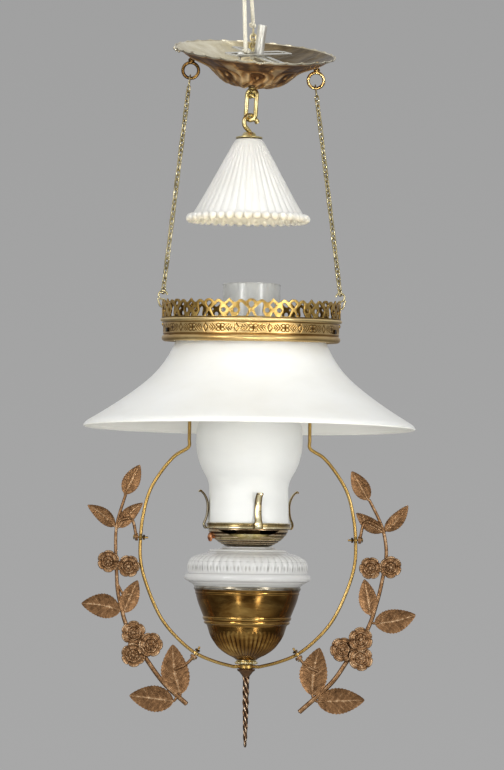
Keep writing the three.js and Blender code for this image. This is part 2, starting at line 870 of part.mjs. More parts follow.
function bellCap() {
  const low = bellCapTop - bellCapHeight;
  const dome = turned(
    [
      [0, low - bellStubLength],
      [bellStub, low - bellStubLength],
      [bellStub, low],
      [bellCapRadius, low],
      [bellCapRadius, low + bellCapFlange],
      [bellCapDome, low + 2 * bellCapFlange],
      [bellCapDome * bellCapDomeShare, bellCapTop],
      [0, bellCapTop],
    ],
    20,
  );
  const socket = bellHookWire / 2 + runningGap;
  return cut(dome, post(socket, bellCapTop - bellHookWire, bellCapTop + overrun, 8));
}

// The bell's wall swells on every rib and draws in between; each rib ends in a bead at the rim.
function smokeBell() {
  const hole = bellStub + runningGap;
  const low = bellTop - bellHeight;
  const rim = bellRimShares.map(([out, up]) => [bellRadius + out * bellBead, low + up * bellBead]);
  const outline = [[bellTopRadius, bellTop], ...rim];
  const inside = [
    [bellRadius - bellBead - bellWall, low + bellBead / 2],
    [bellTopRadius - bellWall / 2, bellTop - bellWall],
    [hole, bellTop - bellWall],
    [hole, bellTop],
  ];
  const made = turned([...outline, ...inside], 2 * bellRibs);
  const place = made.getAttribute("position");
  for (let i = 0; i < place.count; i += 1) {
    const [x, y, z] = [place.getX(i), place.getY(i), place.getZ(i)];
    const radius = Math.hypot(x, y);
    const onRib = z < bellTop - seatGap && radius > insideAt(z, low) + seatGap;
    if (!onRib) continue;
    const deep = Math.cos(Math.atan2(y, x) * bellRibs) < 0 ? bellRibDepth : 0;
    place.setXY(i, (x * (radius - deep)) / radius, (y * (radius - deep)) / radius);
  }
  return closed(made);
}

// The radius of the bell's smooth inside at a height.
function insideAt(z, low) {
  const foot = low + bellBead / 2;
  return THREE.MathUtils.mapLinear(
    z,
    foot,
    bellTop - bellWall,
    bellRadius - bellBead - bellWall,
    bellTopRadius - bellWall / 2,
  );
}

bell.add(piece("bell_hook", bellHook(), brass));
bell.add(piece("bell_cap", bellCap(), brass));
bell.add(piece("smoke_bell", smokeBell(), opal));
const bellNutTop = bellTop - bellWall - seatGap;
const bellNut = nut(bellStub + 2 * runningGap, bellNutRadius, bellNutTop - bellNutHeight, bellNutTop);
bell.add(piece("bell_nut", bellNut, brass));

// Levels of the shade ring
const bearingZ = -canopyDrop - chainDrop;
const galleryBase = bearingZ - hookBearingShare * galleryHeight;
const beadMiddle = galleryBase - beadRadius;
const bandTop = beadMiddle - beadRadius;
const bandBottom = bandTop - bandHeight;
const rollMiddle = bandBottom - rollRadius;
const bandOuter = ringRadius + ringWall;
const galleryRadius = bandOuter + beadRadius / 2;

function ringBand() {
  const roll = rollCorners.map((turn) => {
    const way = THREE.MathUtils.degToRad(turn);
    const middle = ringRadius - ringWall;
    return [middle + rollRadius * Math.cos(way), rollMiddle + rollRadius * Math.sin(way)];
  });
  const outline = [
    [ringRadius, galleryBase - seatGap],
    [galleryRadius - beadRadius / 2, galleryBase - seatGap],
    [bandOuter + beadRadius, beadMiddle],
    [bandOuter, bandTop],
    [bandOuter, bandBottom],
    ...roll,
    [ringRadius - ringWall - rollRadius, rollMiddle - rollRadius / 2],
    [ringRadius - ringWall - rollRadius, rollMiddle + rollRadius / 4],
    [ringRadius, bandBottom],
  ];
  const ring = turned(outline, ringSides);
  const slots = catchAngles.map((angle) => {
    const slot = block(4 * beadRadius, catchWidth + 2 * runningGap, catchDrop);
    slot.translate(ringRadius, 0, catchMiddle);
    return slot.rotateZ(THREE.MathUtils.degToRad(angle - 90));
  });
  const holes = disc(harpWire / 2 + runningGap, 3 * ringRadius, 10).rotateY(Math.PI / 2);
  return cut(ring, ...slots, holes.translate(0, 0, pivotZ));
}

// One repeat of the gallery is drawn flat, then every repeat is bent round the ring and joined edge to edge.
function pierceOutline(half, height) {
  const across = (points, side) => points.map(([u, v]) => [side * u * half, v * height]);
  const foot = [-0.5, 0, 0.5].map((u) => [u * half, 0]);
  const outer = [
    ...foot,
    ...across(galleryCrossingShares, 1),
    [half, height],
    ...across(galleryTopShares, 1).reverse(),
    ...across(galleryTopShares, -1).slice(1),
    [-half, height],
    ...across(galleryCrossingShares, -1).reverse(),
  ];
  const holes = [across(galleryDiamondShares, 1), across(galleryArchShares, 1)];
  for (const side of [-1, 1]) {
    holes.push(across(galleryLoopShares, side), across(galleryCrescentShares, side));
  }
  return { outer, holes };
}

function gallery() {
  const half = (Math.PI * galleryRadius) / galleryRepeats;
  const { outer, holes } = pierceOutline(half, galleryHeight);
  const flat = ([u, v]) => new THREE.Vector2(u, v);
  const loops = [outer, ...holes].map((loop) => {
    const points = loop.map(flat);
    const ccw = !THREE.ShapeUtils.isClockWise(points);
    return ccw === (loop === outer) ? points : points.reverse();
  });
  // The triangles are found on a slightly sagging copy, so that no point of the straight foot is left out.
  const sag = ({ x, y }) => new THREE.Vector2(x, y + gallerySag * (x / half) ** 2);
  const sagging = loops.map((loop) => loop.map(sag));
  const faces = THREE.ShapeUtils.triangulateShape(sagging[0], sagging.slice(1));
  const points = loops.flat();
  const places = [];
  const bent = (point, repeat, side) => {
    const turn = (point.x + 2 * half * repeat) / galleryRadius;
    const radius = galleryRadius + (side * galleryWall) / 2;
    return [radius * Math.sin(turn), -radius * Math.cos(turn), galleryBase + point.y];
  };
  const add = (...corners) => corners.forEach((corner) => places.push(...corner));
  for (let repeat = 0; repeat < galleryRepeats; repeat += 1) {
    const shift = repeat + 0.5;
    for (const [a, b, c] of faces) {
      add(bent(points[a], shift, 1), bent(points[b], shift, 1), bent(points[c], shift, 1));
      add(bent(points[c], shift, -1), bent(points[b], shift, -1), bent(points[a], shift, -1));
    }
    for (const loop of loops) {
      loop.forEach((from, i) => {
        const to = loop[(i + 1) % loop.length];
        const seam = Math.abs(from.x) === half && from.x === to.x;
        if (seam) return;
        const [a, b] = [bent(from, shift, 1), bent(to, shift, 1)];
        const [c, d] = [bent(to, shift, -1), bent(from, shift, -1)];
        add(a, c, b);
        add(a, d, c);
      });
    }
  }
  const geometry = new THREE.BufferGeometry();
  geometry.setAttribute("position", new THREE.Float32BufferAttribute(places, 3));
  return closed(geometry);
}

// The harp's ends turn in two holes of the band, above the shade's lip
const pivotZ = bandTop - harpWire / 2 + runningGap;
const lipTop = pivotZ - harpWire / 2 - 2 * seatGap;
const lipBottom = lipTop - shadeLipHeight;
const catchTop = lipBottom - seatGap;
const catchMiddle = catchTop - catchThickness - seatGap + catchThickness / 2;

hung.add(piece("ring_band", ringBand(), brass));
hung.add(piece("ring_gallery", gallery(), brass));

// A catch passes through its slot, lies under the shade's lip and is bent down outside the band.
function shadeCatch() {
  const outside = bandOuter + seatGap;
  const inside = outside - ringWall - catchReach;
  const low = catchMiddle - catchDrop / 2 + seatGap;
  const outline = [
    [inside, catchTop],
    [outside + catchThickness, catchTop],
    [outside + catchThickness, low],
    [outside, low],
    [outside, catchTop - catchThickness],
    [inside, catchTop - catchThickness],
  ];
  return plate(outline, catchWidth);
}

catchAngles.forEach((angle, i) => {
  const made = piece(`shade_catch_${i + 1}`, shadeCatch(), brass);
  made.rotation.z = THREE.MathUtils.degToRad(angle - 90);
  hung.add(made);
});

// Shade: a slanted, flared cone with a rolled lip at its neck
const shadeLipRadius = ringRadius - shadeLipGap;
const shadeNeckRadius = shadeLipRadius - shadeLipWidth;

function shade() {
  const span = shadeRimRadius - shadeNeckRadius;
  const curve = shadeCurveShares.map(([z, r]) => [shadeNeckRadius + r * span, lipBottom - z * shadeHeight]);
  const inner = beside(curve, -shadeWall).filter((_, i) => i !== 1 && i !== curve.length - 2);
  const bottom = lipBottom - shadeHeight;
  return turned(
    [
      [shadeNeckRadius - shadeWall, lipTop],
      [shadeLipRadius, lipTop],
      [shadeLipRadius, lipBottom],
      ...curve,
      [shadeRimRadius - shadeWall / 2, bottom],
      ...inner.reverse().slice(0, -1),
    ],
    ringSides,
  );
}

hung.add(piece("shade", shade(), opal));

// Suspension chains and S-hooks
const sLoopZ = bearingZ + sHookBend + sHookStem;

function sHook() {
  const loop = arc([0, sLoopZ], sHookLoop, ...sHookLoopArc, 7);
  const bend = arc([0, bearingZ + sHookBend], sHookBend, ...sHookBendArc, 5);
  const tip = [sHookBend + sHookTip / 3, 0, bearingZ + sHookBend + sHookTip];
  return wire([...loop, ...bend, tip], sHookWire, 5, 1);
}

// Oval links from an upper to a lower bar, each fused to the next where they bear.
function chain(from, to) {
  const run = to.clone().sub(from);
  const count = 2 * linkPairs;
  const firstBar = jumpLength - jumpWire;
  const pitch = (run.length() - firstBar) / count;
  const bar = pitch + linkWire * linkContactShare;
  const along = run.clone().normalize();
  const upright = new THREE.Quaternion().setFromUnitVectors(new THREE.Vector3(0, 0, -1), along);
  const set = (made, start, length) => {
    const middle = from.clone().addScaledVector(along, start + length / 2);
    return made.applyQuaternion(upright).translate(middle.x, middle.y, middle.z);
  };
  const links = [set(link(firstBar, jumpWidth, jumpWire, 4, 8).rotateZ(Math.PI / 2), 0, firstBar)];
  for (let i = 0; i < count; i += 1) {
    const oval = link(bar, linkWidth, linkWire, 3, 6).rotateZ((i % 2) * (Math.PI / 2));
    links.push(set(oval, firstBar - linkWire * linkContactShare + i * pitch, bar));
  }
  return join(...links);
}

[-1, 1].forEach((side, i) => {
  const word = side < 0 ? "left" : "right";
  const eyeLow = carried(eyeBolts[i], [0, 0, -eyeBoltDrop - eyeBoltRadius], hung);
  const from = eyeLow.add(new THREE.Vector3(0, 0, (eyeBoltWire + jumpWire) / 2 + seatGap));
  const inLoop = sLoopZ + sHookLoop - sHookWire / 2 - linkWire / 2 - seatGap;
  const to = new THREE.Vector3(side * galleryRadius, 0, inLoop);
  hung.add(piece(`chain_${word}`, chain(from, to), goldBrass));
  const made = side < 0 ? mirrored(sHook()) : sHook();
  hung.add(piece(`s_hook_${word}`, made.translate(side * galleryRadius, 0, 0), brass));
});

// Harp
const armX = shadeNeckRadius - shadeWall - harpNeckGap - harpWire / 2;
const harpMiddle = pivotZ - harpDrop;

function onHarp([x, z]) {
  return [x * harpHalfWidth, 0, harpMiddle + z * harpHalfHeight];
}

function harpPath() {
  const end = bandOuter + harpStub;
  const corner = [armX + harpCornerRadius, pivotZ - harpCornerRadius];
  const side = [
    [end, 0, pivotZ],
    [(end + corner[0]) / 2, 0, pivotZ],
    [corner[0] + harpWire, 0, pivotZ],
    ...arc(corner, harpCornerRadius, 90, 180, 3),
    [armX, 0, (pivotZ + harpMiddle + harpHalfHeight) / 2],
    [armX, 0, harpMiddle + harpHalfHeight * harpShoulderShare],
    ...harpCurveShares.map(onHarp),
  ];
  const other = side.map(([x, y, z]) => [-x, y, z]).reverse();
  return [...side, [0, 0, harpMiddle - harpHalfHeight], ...other];
}

// Sets a piece made along Z onto the harp at a bolt, square to the wire and pointing outwards.
function atBolt(geometry, bolt) {
  const [before, at, after] = [-1, 0, 1].map((step) => onHarp(harpCurveShares[bolt.turn + step]));
  const out = new THREE.Vector3(before[2] - after[2], 0, after[0] - before[0]).normalize();
  const turn = new THREE.Quaternion().setFromUnitVectors(new THREE.Vector3(0, 0, 1), out);
  return geometry.applyQuaternion(turn).translate(at[0], 0, at[2]);
}

function harp() {
  const frame = wire(harpPath(), harpWire, 5, 1);
  const bottom = harpMiddle - harpHalfHeight;
  const eyes = [disc(harpEyeRadius, harpEyeThickness, 12).translate(0, 0, bottom)];
  const centreHole = disc(centreBoltRadius + runningGap, harpEyeThickness + overrun, 10);
  const holes = [centreHole.translate(0, 0, bottom)];
  for (const bolt of boltShares) {
    const eye = atBolt(disc(boltEyeRadius, boltEyeThickness, 8), bolt);
    const hole = atBolt(disc(boltRadius + runningGap, boltEyeThickness + harpWire + overrun, 8), bolt);
    eyes.push(eye, mirrored(eye));
    holes.push(hole, mirrored(hole));
  }
  return cut(join(frame, ...eyes), ...holes);
}

hung.add(piece("harp", harp(), goldBrass));

// Bolts and nuts of the sprays; measured from the middle of the harp's flattened eye, outwards
const eyeletNear = Math.max(boltEyeThickness, harpWire) / 2 + 2 * seatGap;
const headNear = eyeletNear + eyeletThickness + seatGap;
const nutNear = -eyeletNear;

function sprayBolt() {
  const head = post(boltHeadRadius, headNear, headNear + boltHeadHeight, 8);
  const shank = post(boltRadius, nutNear - boltNutHeight - boltEnd, headNear + boltHeadHeight / 2, 6);
  return join(head, shank);
}

function sprayNut() {
  return washer(boltRadius + runningGap, boltNutRadius, nutNear - boltNutHeight, nutNear, 6);
}

// Leaf and flower sprays
function leafOutline(length, width) {
  const edge = [];
  for (let i = 1; i <= leafTeeth; i += 1) {
    const along = i / (leafTeeth + 1);
    const notch = along + leafNotchShare / (leafTeeth + 1);
    const swell = (t) => (width / 2) * Math.sin(Math.PI * t ** leafSwell);
    edge.push([along * length, swell(along) * leafToothShare]);
    edge.push([notch * length, swell(notch) * leafValleyShare]);
  }
  const back = edge.map(([x, z]) => [x, -z]).reverse();
  return [[0, 0], ...back.reverse(), [length, 0], ...edge.reverse()];
}

function leaf({ base, tip, width }) {
  const [from, to] = [base, tip].map((shares) => new THREE.Vector3(...onHarp(shares)));
  const length = from.distanceTo(to);
  const made = plate(leafOutline(length, width * length), leafThickness);
  return made.rotateY(-Math.atan2(to.z - from.z, to.x - from.x)).translate(from.x, 0, from.z);
}

// A flower with its stalk from the stem.
function flower({ place, stem }) {
  const [x, , z] = onHarp(place);
  const outline = [];
  for (let i = 0; i < 2 * petalCount; i += 1) {
    const turn = (i / petalCount) * Math.PI;
    const radius = flowerRadius * (i % 2 ? petalValleyShare : 1);
    outline.push([radius * Math.cos(turn), radius * Math.sin(turn)]);
  }
  const heart = disc(flowerHeart, flowerThickness + 2 * flowerHeartRise, 6).rotateX(Math.PI / 2);
  const petals = plate(outline, flowerThickness).translate(x, 0, z);
  return join(petals, heart.translate(x, 0, z), wire([stem, place].map(onHarp), stalkWire, 4, 1));
}

// The tab runs past the bolt's head and turns in under it, into the eyelet.
function tab(bolt) {
  const eyelet = atBolt(post(eyeletRadius, eyeletNear, eyeletNear + eyeletThickness, 8), bolt);
  const from = new THREE.Vector3(...onHarp(bolt.tab.at(-1)));
  const middle = eyeletNear + eyeletThickness / 2;
  const turn = (side) => {
    const bend = [[side * tabOffset, 0, middle + tabWire], [(side * eyeletRadius) / 2, 0, middle]];
    const flat = new THREE.BufferGeometry().setFromPoints(bend.map((point) => new THREE.Vector3(...point)));
    const place = atBolt(flat, bolt).getAttribute("position");
    return [0, 1].map((i) => new THREE.Vector3().fromBufferAttribute(place, i));
  };
  const ways = [turn(-1), turn(1)].sort((one, two) => one[0].distanceTo(from) - two[0].distanceTo(from));
  const nearest = ways[0].map((place) => place.toArray());
  return join(eyelet, wire([...bolt.tab.map(onHarp), ...nearest], tabWire, 6, 1));
}

function spray() {
  const stem = wire(sprayStemShares.map(onHarp), stemWire, 6, 1);
  const shown = [...sprayLeafShares.map(leaf), ...sprayFlowerShares.map(flower)];
  const parts = [stem, ...shown, ...boltShares.map(tab)];
  const face = eyeletNear + eyeletThickness;
  const holes = boltShares.flatMap((bolt) => {
    const hole = post(boltRadius + runningGap, eyeletNear - overrun, face + overrun, 6);
    const spotFace = post(boltHeadRadius + seatGap, face, face + boltHeadHeight + overrun, 8);
    return [atBolt(hole, bolt), atBolt(spotFace, bolt)];
  });
  return cut(join(...parts), ...holes);
}

const sprayRight = spray();
const boltRight = boltShares.map((bolt) => atBolt(sprayBolt(), bolt));
const nutRight = boltShares.map((bolt) => atBolt(sprayNut(), bolt));
for (const word of ["left", "right"]) {
  const sided = (geometry) => (word === "left" ? mirrored(geometry) : geometry);
  hung.add(piece(`spray_${word}`, sided(sprayRight), copperBrown));
  ["upper", "lower"].forEach((height, i) => {
    hung.add(piece(`bolt_${word}_${height}`, sided(boltRight[i]), brass));
    hung.add(piece(`nut_${word}_${height}`, sided(nutRight[i]), brass));
  });
}

// Bowl, collar, centre bolt and finial
const harpEyeTop = harpMiddle - harpHalfHeight + harpEyeThickness / 2;
const harpEyeBottom = harpEyeTop - harpEyeThickness;
const collarBottom = harpEyeTop + seatGap;
const bowlBottom = collarBottom + collarHeight + seatGap;
const bowlTop = bowlBottom + bowlHeight;

function bowl() {
  const curve = bowlCurveShares.map(([z, r]) => [r * bowlRadius, bowlTop - z * bowlHeight]);
  const low = [bowlNeck, bowlBottom];
  const floor = [centreBoltRadius + runningGap, bowlBottom];
  const outer = [...curve, low, floor];
  const lowest = curve.at(-1)[1] + bowlWall;
  const inside = bowlInsideRows.map((row) => {
    const [r, z] = curve[row];
    const fluted = bowlCurveShares[row][0] > firstFlutedShare - fluteDepthShare;
    return [fluted ? r * (1 - fluteDepthShare) - bowlWall * fluteWallShare : r - bowlWall, z];
  });
  const floorTop = [floor[0], lowest];
  const kept = inside.filter(([, z]) => z > lowest + bowlWall);
  const made = turned([...outer, floorTop, [kept.at(-1)[0] / 2, lowest], ...kept.reverse()], 2 * bowlFlutes);
  const place = made.getAttribute("position");
  const fluteTop = bowlTop - firstFlutedShare * bowlHeight;
  for (let i = 0; i < place.count; i += 1) {
    const [x, y, z] = [place.getX(i), place.getY(i), place.getZ(i)];
    const radius = Math.hypot(x, y);
    const onCurve = curve.some(([r, h]) => Math.abs(h - z) < seatGap / 3 && Math.abs(r - radius) < seatGap);
    if (z > fluteTop || !onCurve) continue;
    const deep = Math.cos(Math.atan2(y, x) * bowlFlutes) < 0 ? 1 - fluteDepthShare : 1;
    place.setXY(i, x * deep, y * deep);
  }
  return closed(made);
}

const bowlFloor = bowlTop - bowlCurveShares.at(-1)[0] * bowlHeight + bowlWall;

function centreBolt() {
  const low = harpEyeBottom - seatGap - centreBoltGrip;
  const head = post(centreBoltHead, bowlFloor + seatGap, bowlFloor + seatGap + centreBoltHeadHeight, 6);
  return join(head, post(centreBoltRadius, low, bowlFloor + seatGap + centreBoltHeadHeight / 2, 10));
}

// The finial's square rod is twisted like a rope below its cone.
function finial() {
  const top = harpEyeBottom - seatGap;
  const rodTop = top - finialConeHeight;
  const side = finialConeShares.map(([r, z]) => [r * finialTop, top - z * finialConeHeight]);
  const cone = turned([[0, rodTop - overrun], [finialRod, rodTop - overrun], ...side, [0, top]], 14);
  const length = finialLength - finialConeHeight;
  const rows = 3 * finialTwists;
  const rod = new THREE.BoxGeometry(2, 2, length, 1, 1, rows);
  const place = rod.getAttribute("position");
  for (let i = 0; i < place.count; i += 1) {
    const down = 0.5 - place.getZ(i) / length;
    const turn = down * finialTwists * (Math.PI / 2);
    const half = THREE.MathUtils.lerp(finialRod, finialTip, down) / Math.SQRT2;
    const corner = new THREE.Vector2(place.getX(i) * half, place.getY(i) * half);
    corner.rotateAround(new THREE.Vector2(), turn);
    place.setXY(i, corner.x, corner.y);
  }
  rod.translate(0, 0, rodTop - length / 2);
  const bore = post(centreBoltRadius + runningGap, top - centreBoltGrip - seatGap, top + overrun, 10);
  return cut(join(cone, rod), bore);
}

hung.add(piece("bowl", bowl(), brass));
hung.add(
  piece(
    "bowl_collar",
    washer(centreBoltRadius + runningGap, collarRadius, collarBottom, collarBottom + collarHeight, 20),
    goldBrass,
  ),
);
hung.add(piece("centre_bolt", centreBolt(), brass));
hung.add(piece("finial", finial(), brass));

// Oil font: its ledge rests on the bowl's rim
const ledge = bowlTop + seatGap;
const fontTop = ledge + fontHeight;
const recess = fontTop - collarSeatDepth;
const fontBottom = ledge - fontFootDepth;

function font() {
  const ledgeInner = bowlRadius - bowlWall - 2 * seatGap;
  const radii = { step: fontStep, shoulder: fontShoulder, roll: fontRadius };
  const side = fontOuterShares.map(([which, r, z]) => [radii[which] * r, fontTop - z * fontHeight]);
  const outer = [
    [fontNeck, recess],
    [fontCollarRadius + seatGap, recess],
    ...side,
    [bowlRadius + fontLedgeOverhang, (side.at(-1)[1] + ledge) / 2],
    [bowlRadius + runningGap, ledge],
    [ledgeInner, ledge],
    [fontFoot, fontBottom],
    [0, fontBottom],
  ];
  const inner = [
    [0, fontBottom + fontWall],
    [fontFoot - fontWall, fontBottom + fontWall],
    [ledgeInner - fontWall, ledge + fontWall],
    [side[5][0] - fontWall, side[5][1]],
    [side[4][0] - fontWall, side[4][1] - fontWall / 2],
    [side[2][0] - fontWall, side[2][1] - fontWall],
    [fontNeck, recess - fontWall],
  ];
  return turned([...inner, ...outer], fontSides);
}

hung.add(piece("font", font(), crystal));
const fontCollarBottom = recess + seatGap;
const fontCollarTop = fontCollarBottom + fontCollarHeight;
hung.add(
  piece(
    "font_collar",
    washer(basketSkirt + runningGap, fontCollarRadius, fontCollarBottom, fontCollarTop, 20),
    goldBrass,
  ),
);

// Burner basket, screwed into the collar
const basketBottom = fontCollarTop + seatGap;
const basketTop = basketBottom + basketDepth;
const tubeHalf = [wickWidth / 2 + runningGap + wickTubeWall, wickThickness / 2 + runningGap + wickTubeWall];
const shaftZ = basketBottom + basketDepth * shaftShare;

function basket() {
  const curve = basketCurveShares.map(([z, r]) => [r * basketRadius, basketTop - z * basketDepth]);
  const outer = [[0, basketBottom - basketSkirtDepth], [basketSkirt, basketBottom - basketSkirtDepth]];
  outer.push([basketSkirt, basketBottom], ...curve.reverse());
  const inner = beside(curve, basketWall).reverse();
  inner[0][1] = basketTop;
  const floor = basketBottom + basketWall;
  const shell = turned([...outer, ...inner, [0, Math.max(floor, inner.at(-1)[1])]], 20);
  const passage = block(2 * (tubeHalf[0] + seatGap), 2 * (tubeHalf[1] + seatGap), 4 * basketDepth);
  const opening = block(2 * windowShare * basketRadius, basketRadius, windowHeight);
  opening.translate(0, -basketRadius, basketTop - windowHeight / 2 - 2 * basketWall);
  const bearing = disc(knobShaft + runningGap, basketRadius, 8).rotateY(Math.PI / 2);
  bearing.translate(basketRadius, 0, shaftZ).rotateZ(knobAngle);
  return cut(shell, passage.translate(0, 0, basketBottom), opening, bearing);
}

hung.add(piece("burner_basket", basket(), copperBrown));

// Prong gallery: a ring with a floor, and four sprung prongs that hold the chimney
const floorLow = basketTop + seatGap;
const floorTop = floorLow + burnerRingWall;
const chimneyLow = floorTop + seatGap;
const burnerRingRadius = chimneyFoot + burnerRingGap;

function prong() {
  const base = floorLow + burnerRingHeight / 2;
  const glass = chimneyFoot + seatGap;
  const bent = (from) => ([out, up]) => [from + out * burnerRingHeight, base + up * prongHeight];
  const curve = [
    [burnerRingRadius - burnerRingWall / 2, base],
    ...prongFootShares.map(bent(burnerRingRadius)),
    ...prongGripShares.map(bent(glass)),
  ];
  return plate([...curve, ...beside(curve, prongThickness).reverse()], prongWidth);
}

function prongGallery() {
  const top = floorLow + burnerRingHeight;
  const ring = turned(
    [
      [domeRadius + seatGap, floorLow],
      [burnerRingRadius, floorLow],
      [burnerRingRadius, top],
      [burnerRingRadius - burnerRingWall, top],
      [burnerRingRadius - burnerRingWall, floorTop],
      [domeRadius + seatGap, floorTop],
    ],
    28,
  );
  const prongs = Array.from({ length: prongCount }, (_, i) =>
    prong().rotateZ(prongTurn + (i / prongCount) * 2 * Math.PI),
  );
  return join(ring, ...prongs);
}

hung.add(piece("prong_gallery", prongGallery(), brass));

function flameDome() {
  const low = floorTop + seatGap;
  const dome = domeCurveShares.map(([r, z]) => [r * domeRadius, low + z * domeHeight]);
  const curve = [[domeRadius + domeFlange, low], ...dome];
  const shell = turned([...curve, ...beside(curve, -basketWall).reverse()], 16);
  const slot = block(wickWidth + domeSlot, domeSlot, domeHeight);
  return cut(shell, slot.translate(0, 0, low + domeHeight * (domeSlotShare + 0.5)));
}

hung.add(piece("flame_dome", flameDome(), brass));

// Wick tube, wick and the thumb wheel that raises it
const tubeLow = basketBottom - wickTubeBelow;
const tubeHigh = basketTop + wickTubeAbove - domeHeight / 2;

function wickTube() {
  const height = tubeHigh - tubeLow;
  const outer = block(2 * tubeHalf[0], 2 * tubeHalf[1], height);
  const inner = block(wickWidth + 2 * runningGap, wickThickness + 2 * runningGap, height + overrun);
  return cut(outer, inner).translate(0, 0, (tubeHigh + tubeLow) / 2);
}

hung.add(piece("wick_tube", wickTube(), brass));
const wickLength = tubeHigh - tubeLow + wickDip + wickRise;
const wickMesh = piece("wick", block(wickWidth, wickThickness, wickLength), cotton);
wickMesh.position.z = tubeHigh + wickRise - wickLength / 2;
hung.add(wickMesh);

function knob() {
  const start = tubeHalf[0] + seatGap + wickTubeWall;
  const shaft = disc(knobShaft, knobReach - start, 8).rotateY(Math.PI / 2);
  shaft.translate((knobReach + start) / 2, 0, 0);
  const wheel = [];
  for (let i = 0; i < 2 * knobTeeth; i += 1) {
    const turn = (i / knobTeeth) * Math.PI;
    const radius = knobRadius * (i % 2 ? knobToothShare : 1);
    wheel.push([radius * Math.cos(turn), radius * Math.sin(turn)]);
  }
  const rim = plate(wheel, knobThickness).rotateZ(Math.PI / 2).translate(knobReach, 0, 0);
  return join(shaft, rim).rotateZ(knobAngle).translate(0, 0, shaftZ);
}

hung.add(piece("wick_knob", knob(), brass));

// Chimney
function chimney() {
  const chimneyBulge = armX - harpWire / 2 - chimneyArmGap;
  const between = (low, high, share) => low + (high - low) * share;
  const curve = [
    ...chimneyFootShares.map((z) => [chimneyFoot, z]),
    ...chimneyBulgeShares.map(([z, r]) => [between(chimneyFoot, chimneyBulge, r), z]),
    ...chimneyStackShares.map(([z, r]) => [between(chimneyStack, chimneyBulge, r), z]),
  ].map(([r, z]) => [r, chimneyLow + z * chimneyHeight]);
  return turnedShell(curve, chimneyWall, 22);
}

hung.add(piece("chimney", chimney(), opal));

export default lamp;
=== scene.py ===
import bmesh
import bpy
import math
import numpy as np
from mathutils import Matrix, Vector


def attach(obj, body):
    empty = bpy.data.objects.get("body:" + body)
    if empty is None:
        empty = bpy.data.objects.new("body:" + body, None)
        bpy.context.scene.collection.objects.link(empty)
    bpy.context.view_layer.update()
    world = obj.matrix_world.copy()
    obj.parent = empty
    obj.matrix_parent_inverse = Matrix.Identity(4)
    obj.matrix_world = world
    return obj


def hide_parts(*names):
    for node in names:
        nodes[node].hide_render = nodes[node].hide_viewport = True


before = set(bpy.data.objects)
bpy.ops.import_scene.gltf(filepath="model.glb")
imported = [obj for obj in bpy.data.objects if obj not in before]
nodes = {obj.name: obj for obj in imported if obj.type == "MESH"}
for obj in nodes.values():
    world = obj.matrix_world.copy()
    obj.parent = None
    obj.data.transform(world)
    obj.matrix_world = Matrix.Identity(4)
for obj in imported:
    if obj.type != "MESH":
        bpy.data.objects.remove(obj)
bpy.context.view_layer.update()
scene = bpy.context.scene
scene.view_settings.view_transform = "Standard"

# Lengths are in millimetres in the row frame. The lamp's own axis stands at x = AXIS.
MM = 0.001
AXIS = 8.0
TAU = 2 * math.pi
TINY = 1e-9
PLAIN = 0.5  # the relief of a plain surface, between hollow (0) and high (1)
SIDES = ((-1, "left"), (1, "right"))


def add_object(name, data):
    made = bpy.data.objects.new(name, data)
    scene.collection.objects.link(made)
    return made


# Camera, at the photograph's place: 3 m in front and a little below the shade, looking slightly up
CAMERA_PLACE = Vector((9.7, -3000, -580))
CAMERA_RISE = 165  # how much higher its line of sight is at the lamp
CAMERA_ROLL = math.radians(0.84)
CAMERA_LENS = 140.4


def make_camera():
    pitch = math.atan2(CAMERA_RISE, -CAMERA_PLACE.y)
    ahead = Vector((0, math.cos(pitch), math.sin(pitch)))
    up = Vector((0, -math.sin(pitch), math.cos(pitch)))
    right = Vector((1, 0, 0))
    turned_right = right * math.cos(CAMERA_ROLL) + up * math.sin(CAMERA_ROLL)
    turned_up = up * math.cos(CAMERA_ROLL) - right * math.sin(CAMERA_ROLL)
    data = bpy.data.cameras.new("camera")
    data.lens = CAMERA_LENS
    data.sensor_width = 36
    data.clip_end = 50
    camera = add_object("camera", data)
    axes = Matrix((turned_right, turned_up, -ahead)).transposed()
    camera.matrix_world = Matrix.Translation(CAMERA_PLACE * MM) @ axes.to_4x4()
    scene.camera = camera


make_camera()


# Places and turns
def clamp(value):
    return min(max(value, 0.0), 1.0)


def at(x=0.0, y=0.0, z=0.0):
    return Matrix.Translation(Vector((x, y, z)))


def on_axis(z=0.0):
    return at(AXIS, 0, z)


def turned(degrees, axis):
    return Matrix.Rotation(math.radians(degrees), 4, axis)


def aimed(way, start=(0, 0, 1)):
    """The turn that lays one direction along another."""
    return Vector(start).rotation_difference(way).to_matrix().to_4x4()


# Mesh tools; a part is (verts, faces) or (verts, faces, relief), in millimetres
def moved(part, matrix):
    points = np.asarray(part[0], float).reshape(-1, 3)
    return (points @ np.array(matrix.to_3x3()).T + np.array(matrix.translation), *part[1:])


def merged(parts):
    """Several parts as one."""
    verts, faces, relief = [], [], []
    count = 0
    for part in parts:
        verts.append(np.asarray(part[0], float).reshape(-1, 3))
        faces.extend([tuple(i + count for i in face) for face in part[1]])
        relief.extend(part[2] if len(part) > 2 else [PLAIN] * len(part[0]))
        count += len(part[0])
    return np.vstack(verts), faces, relief


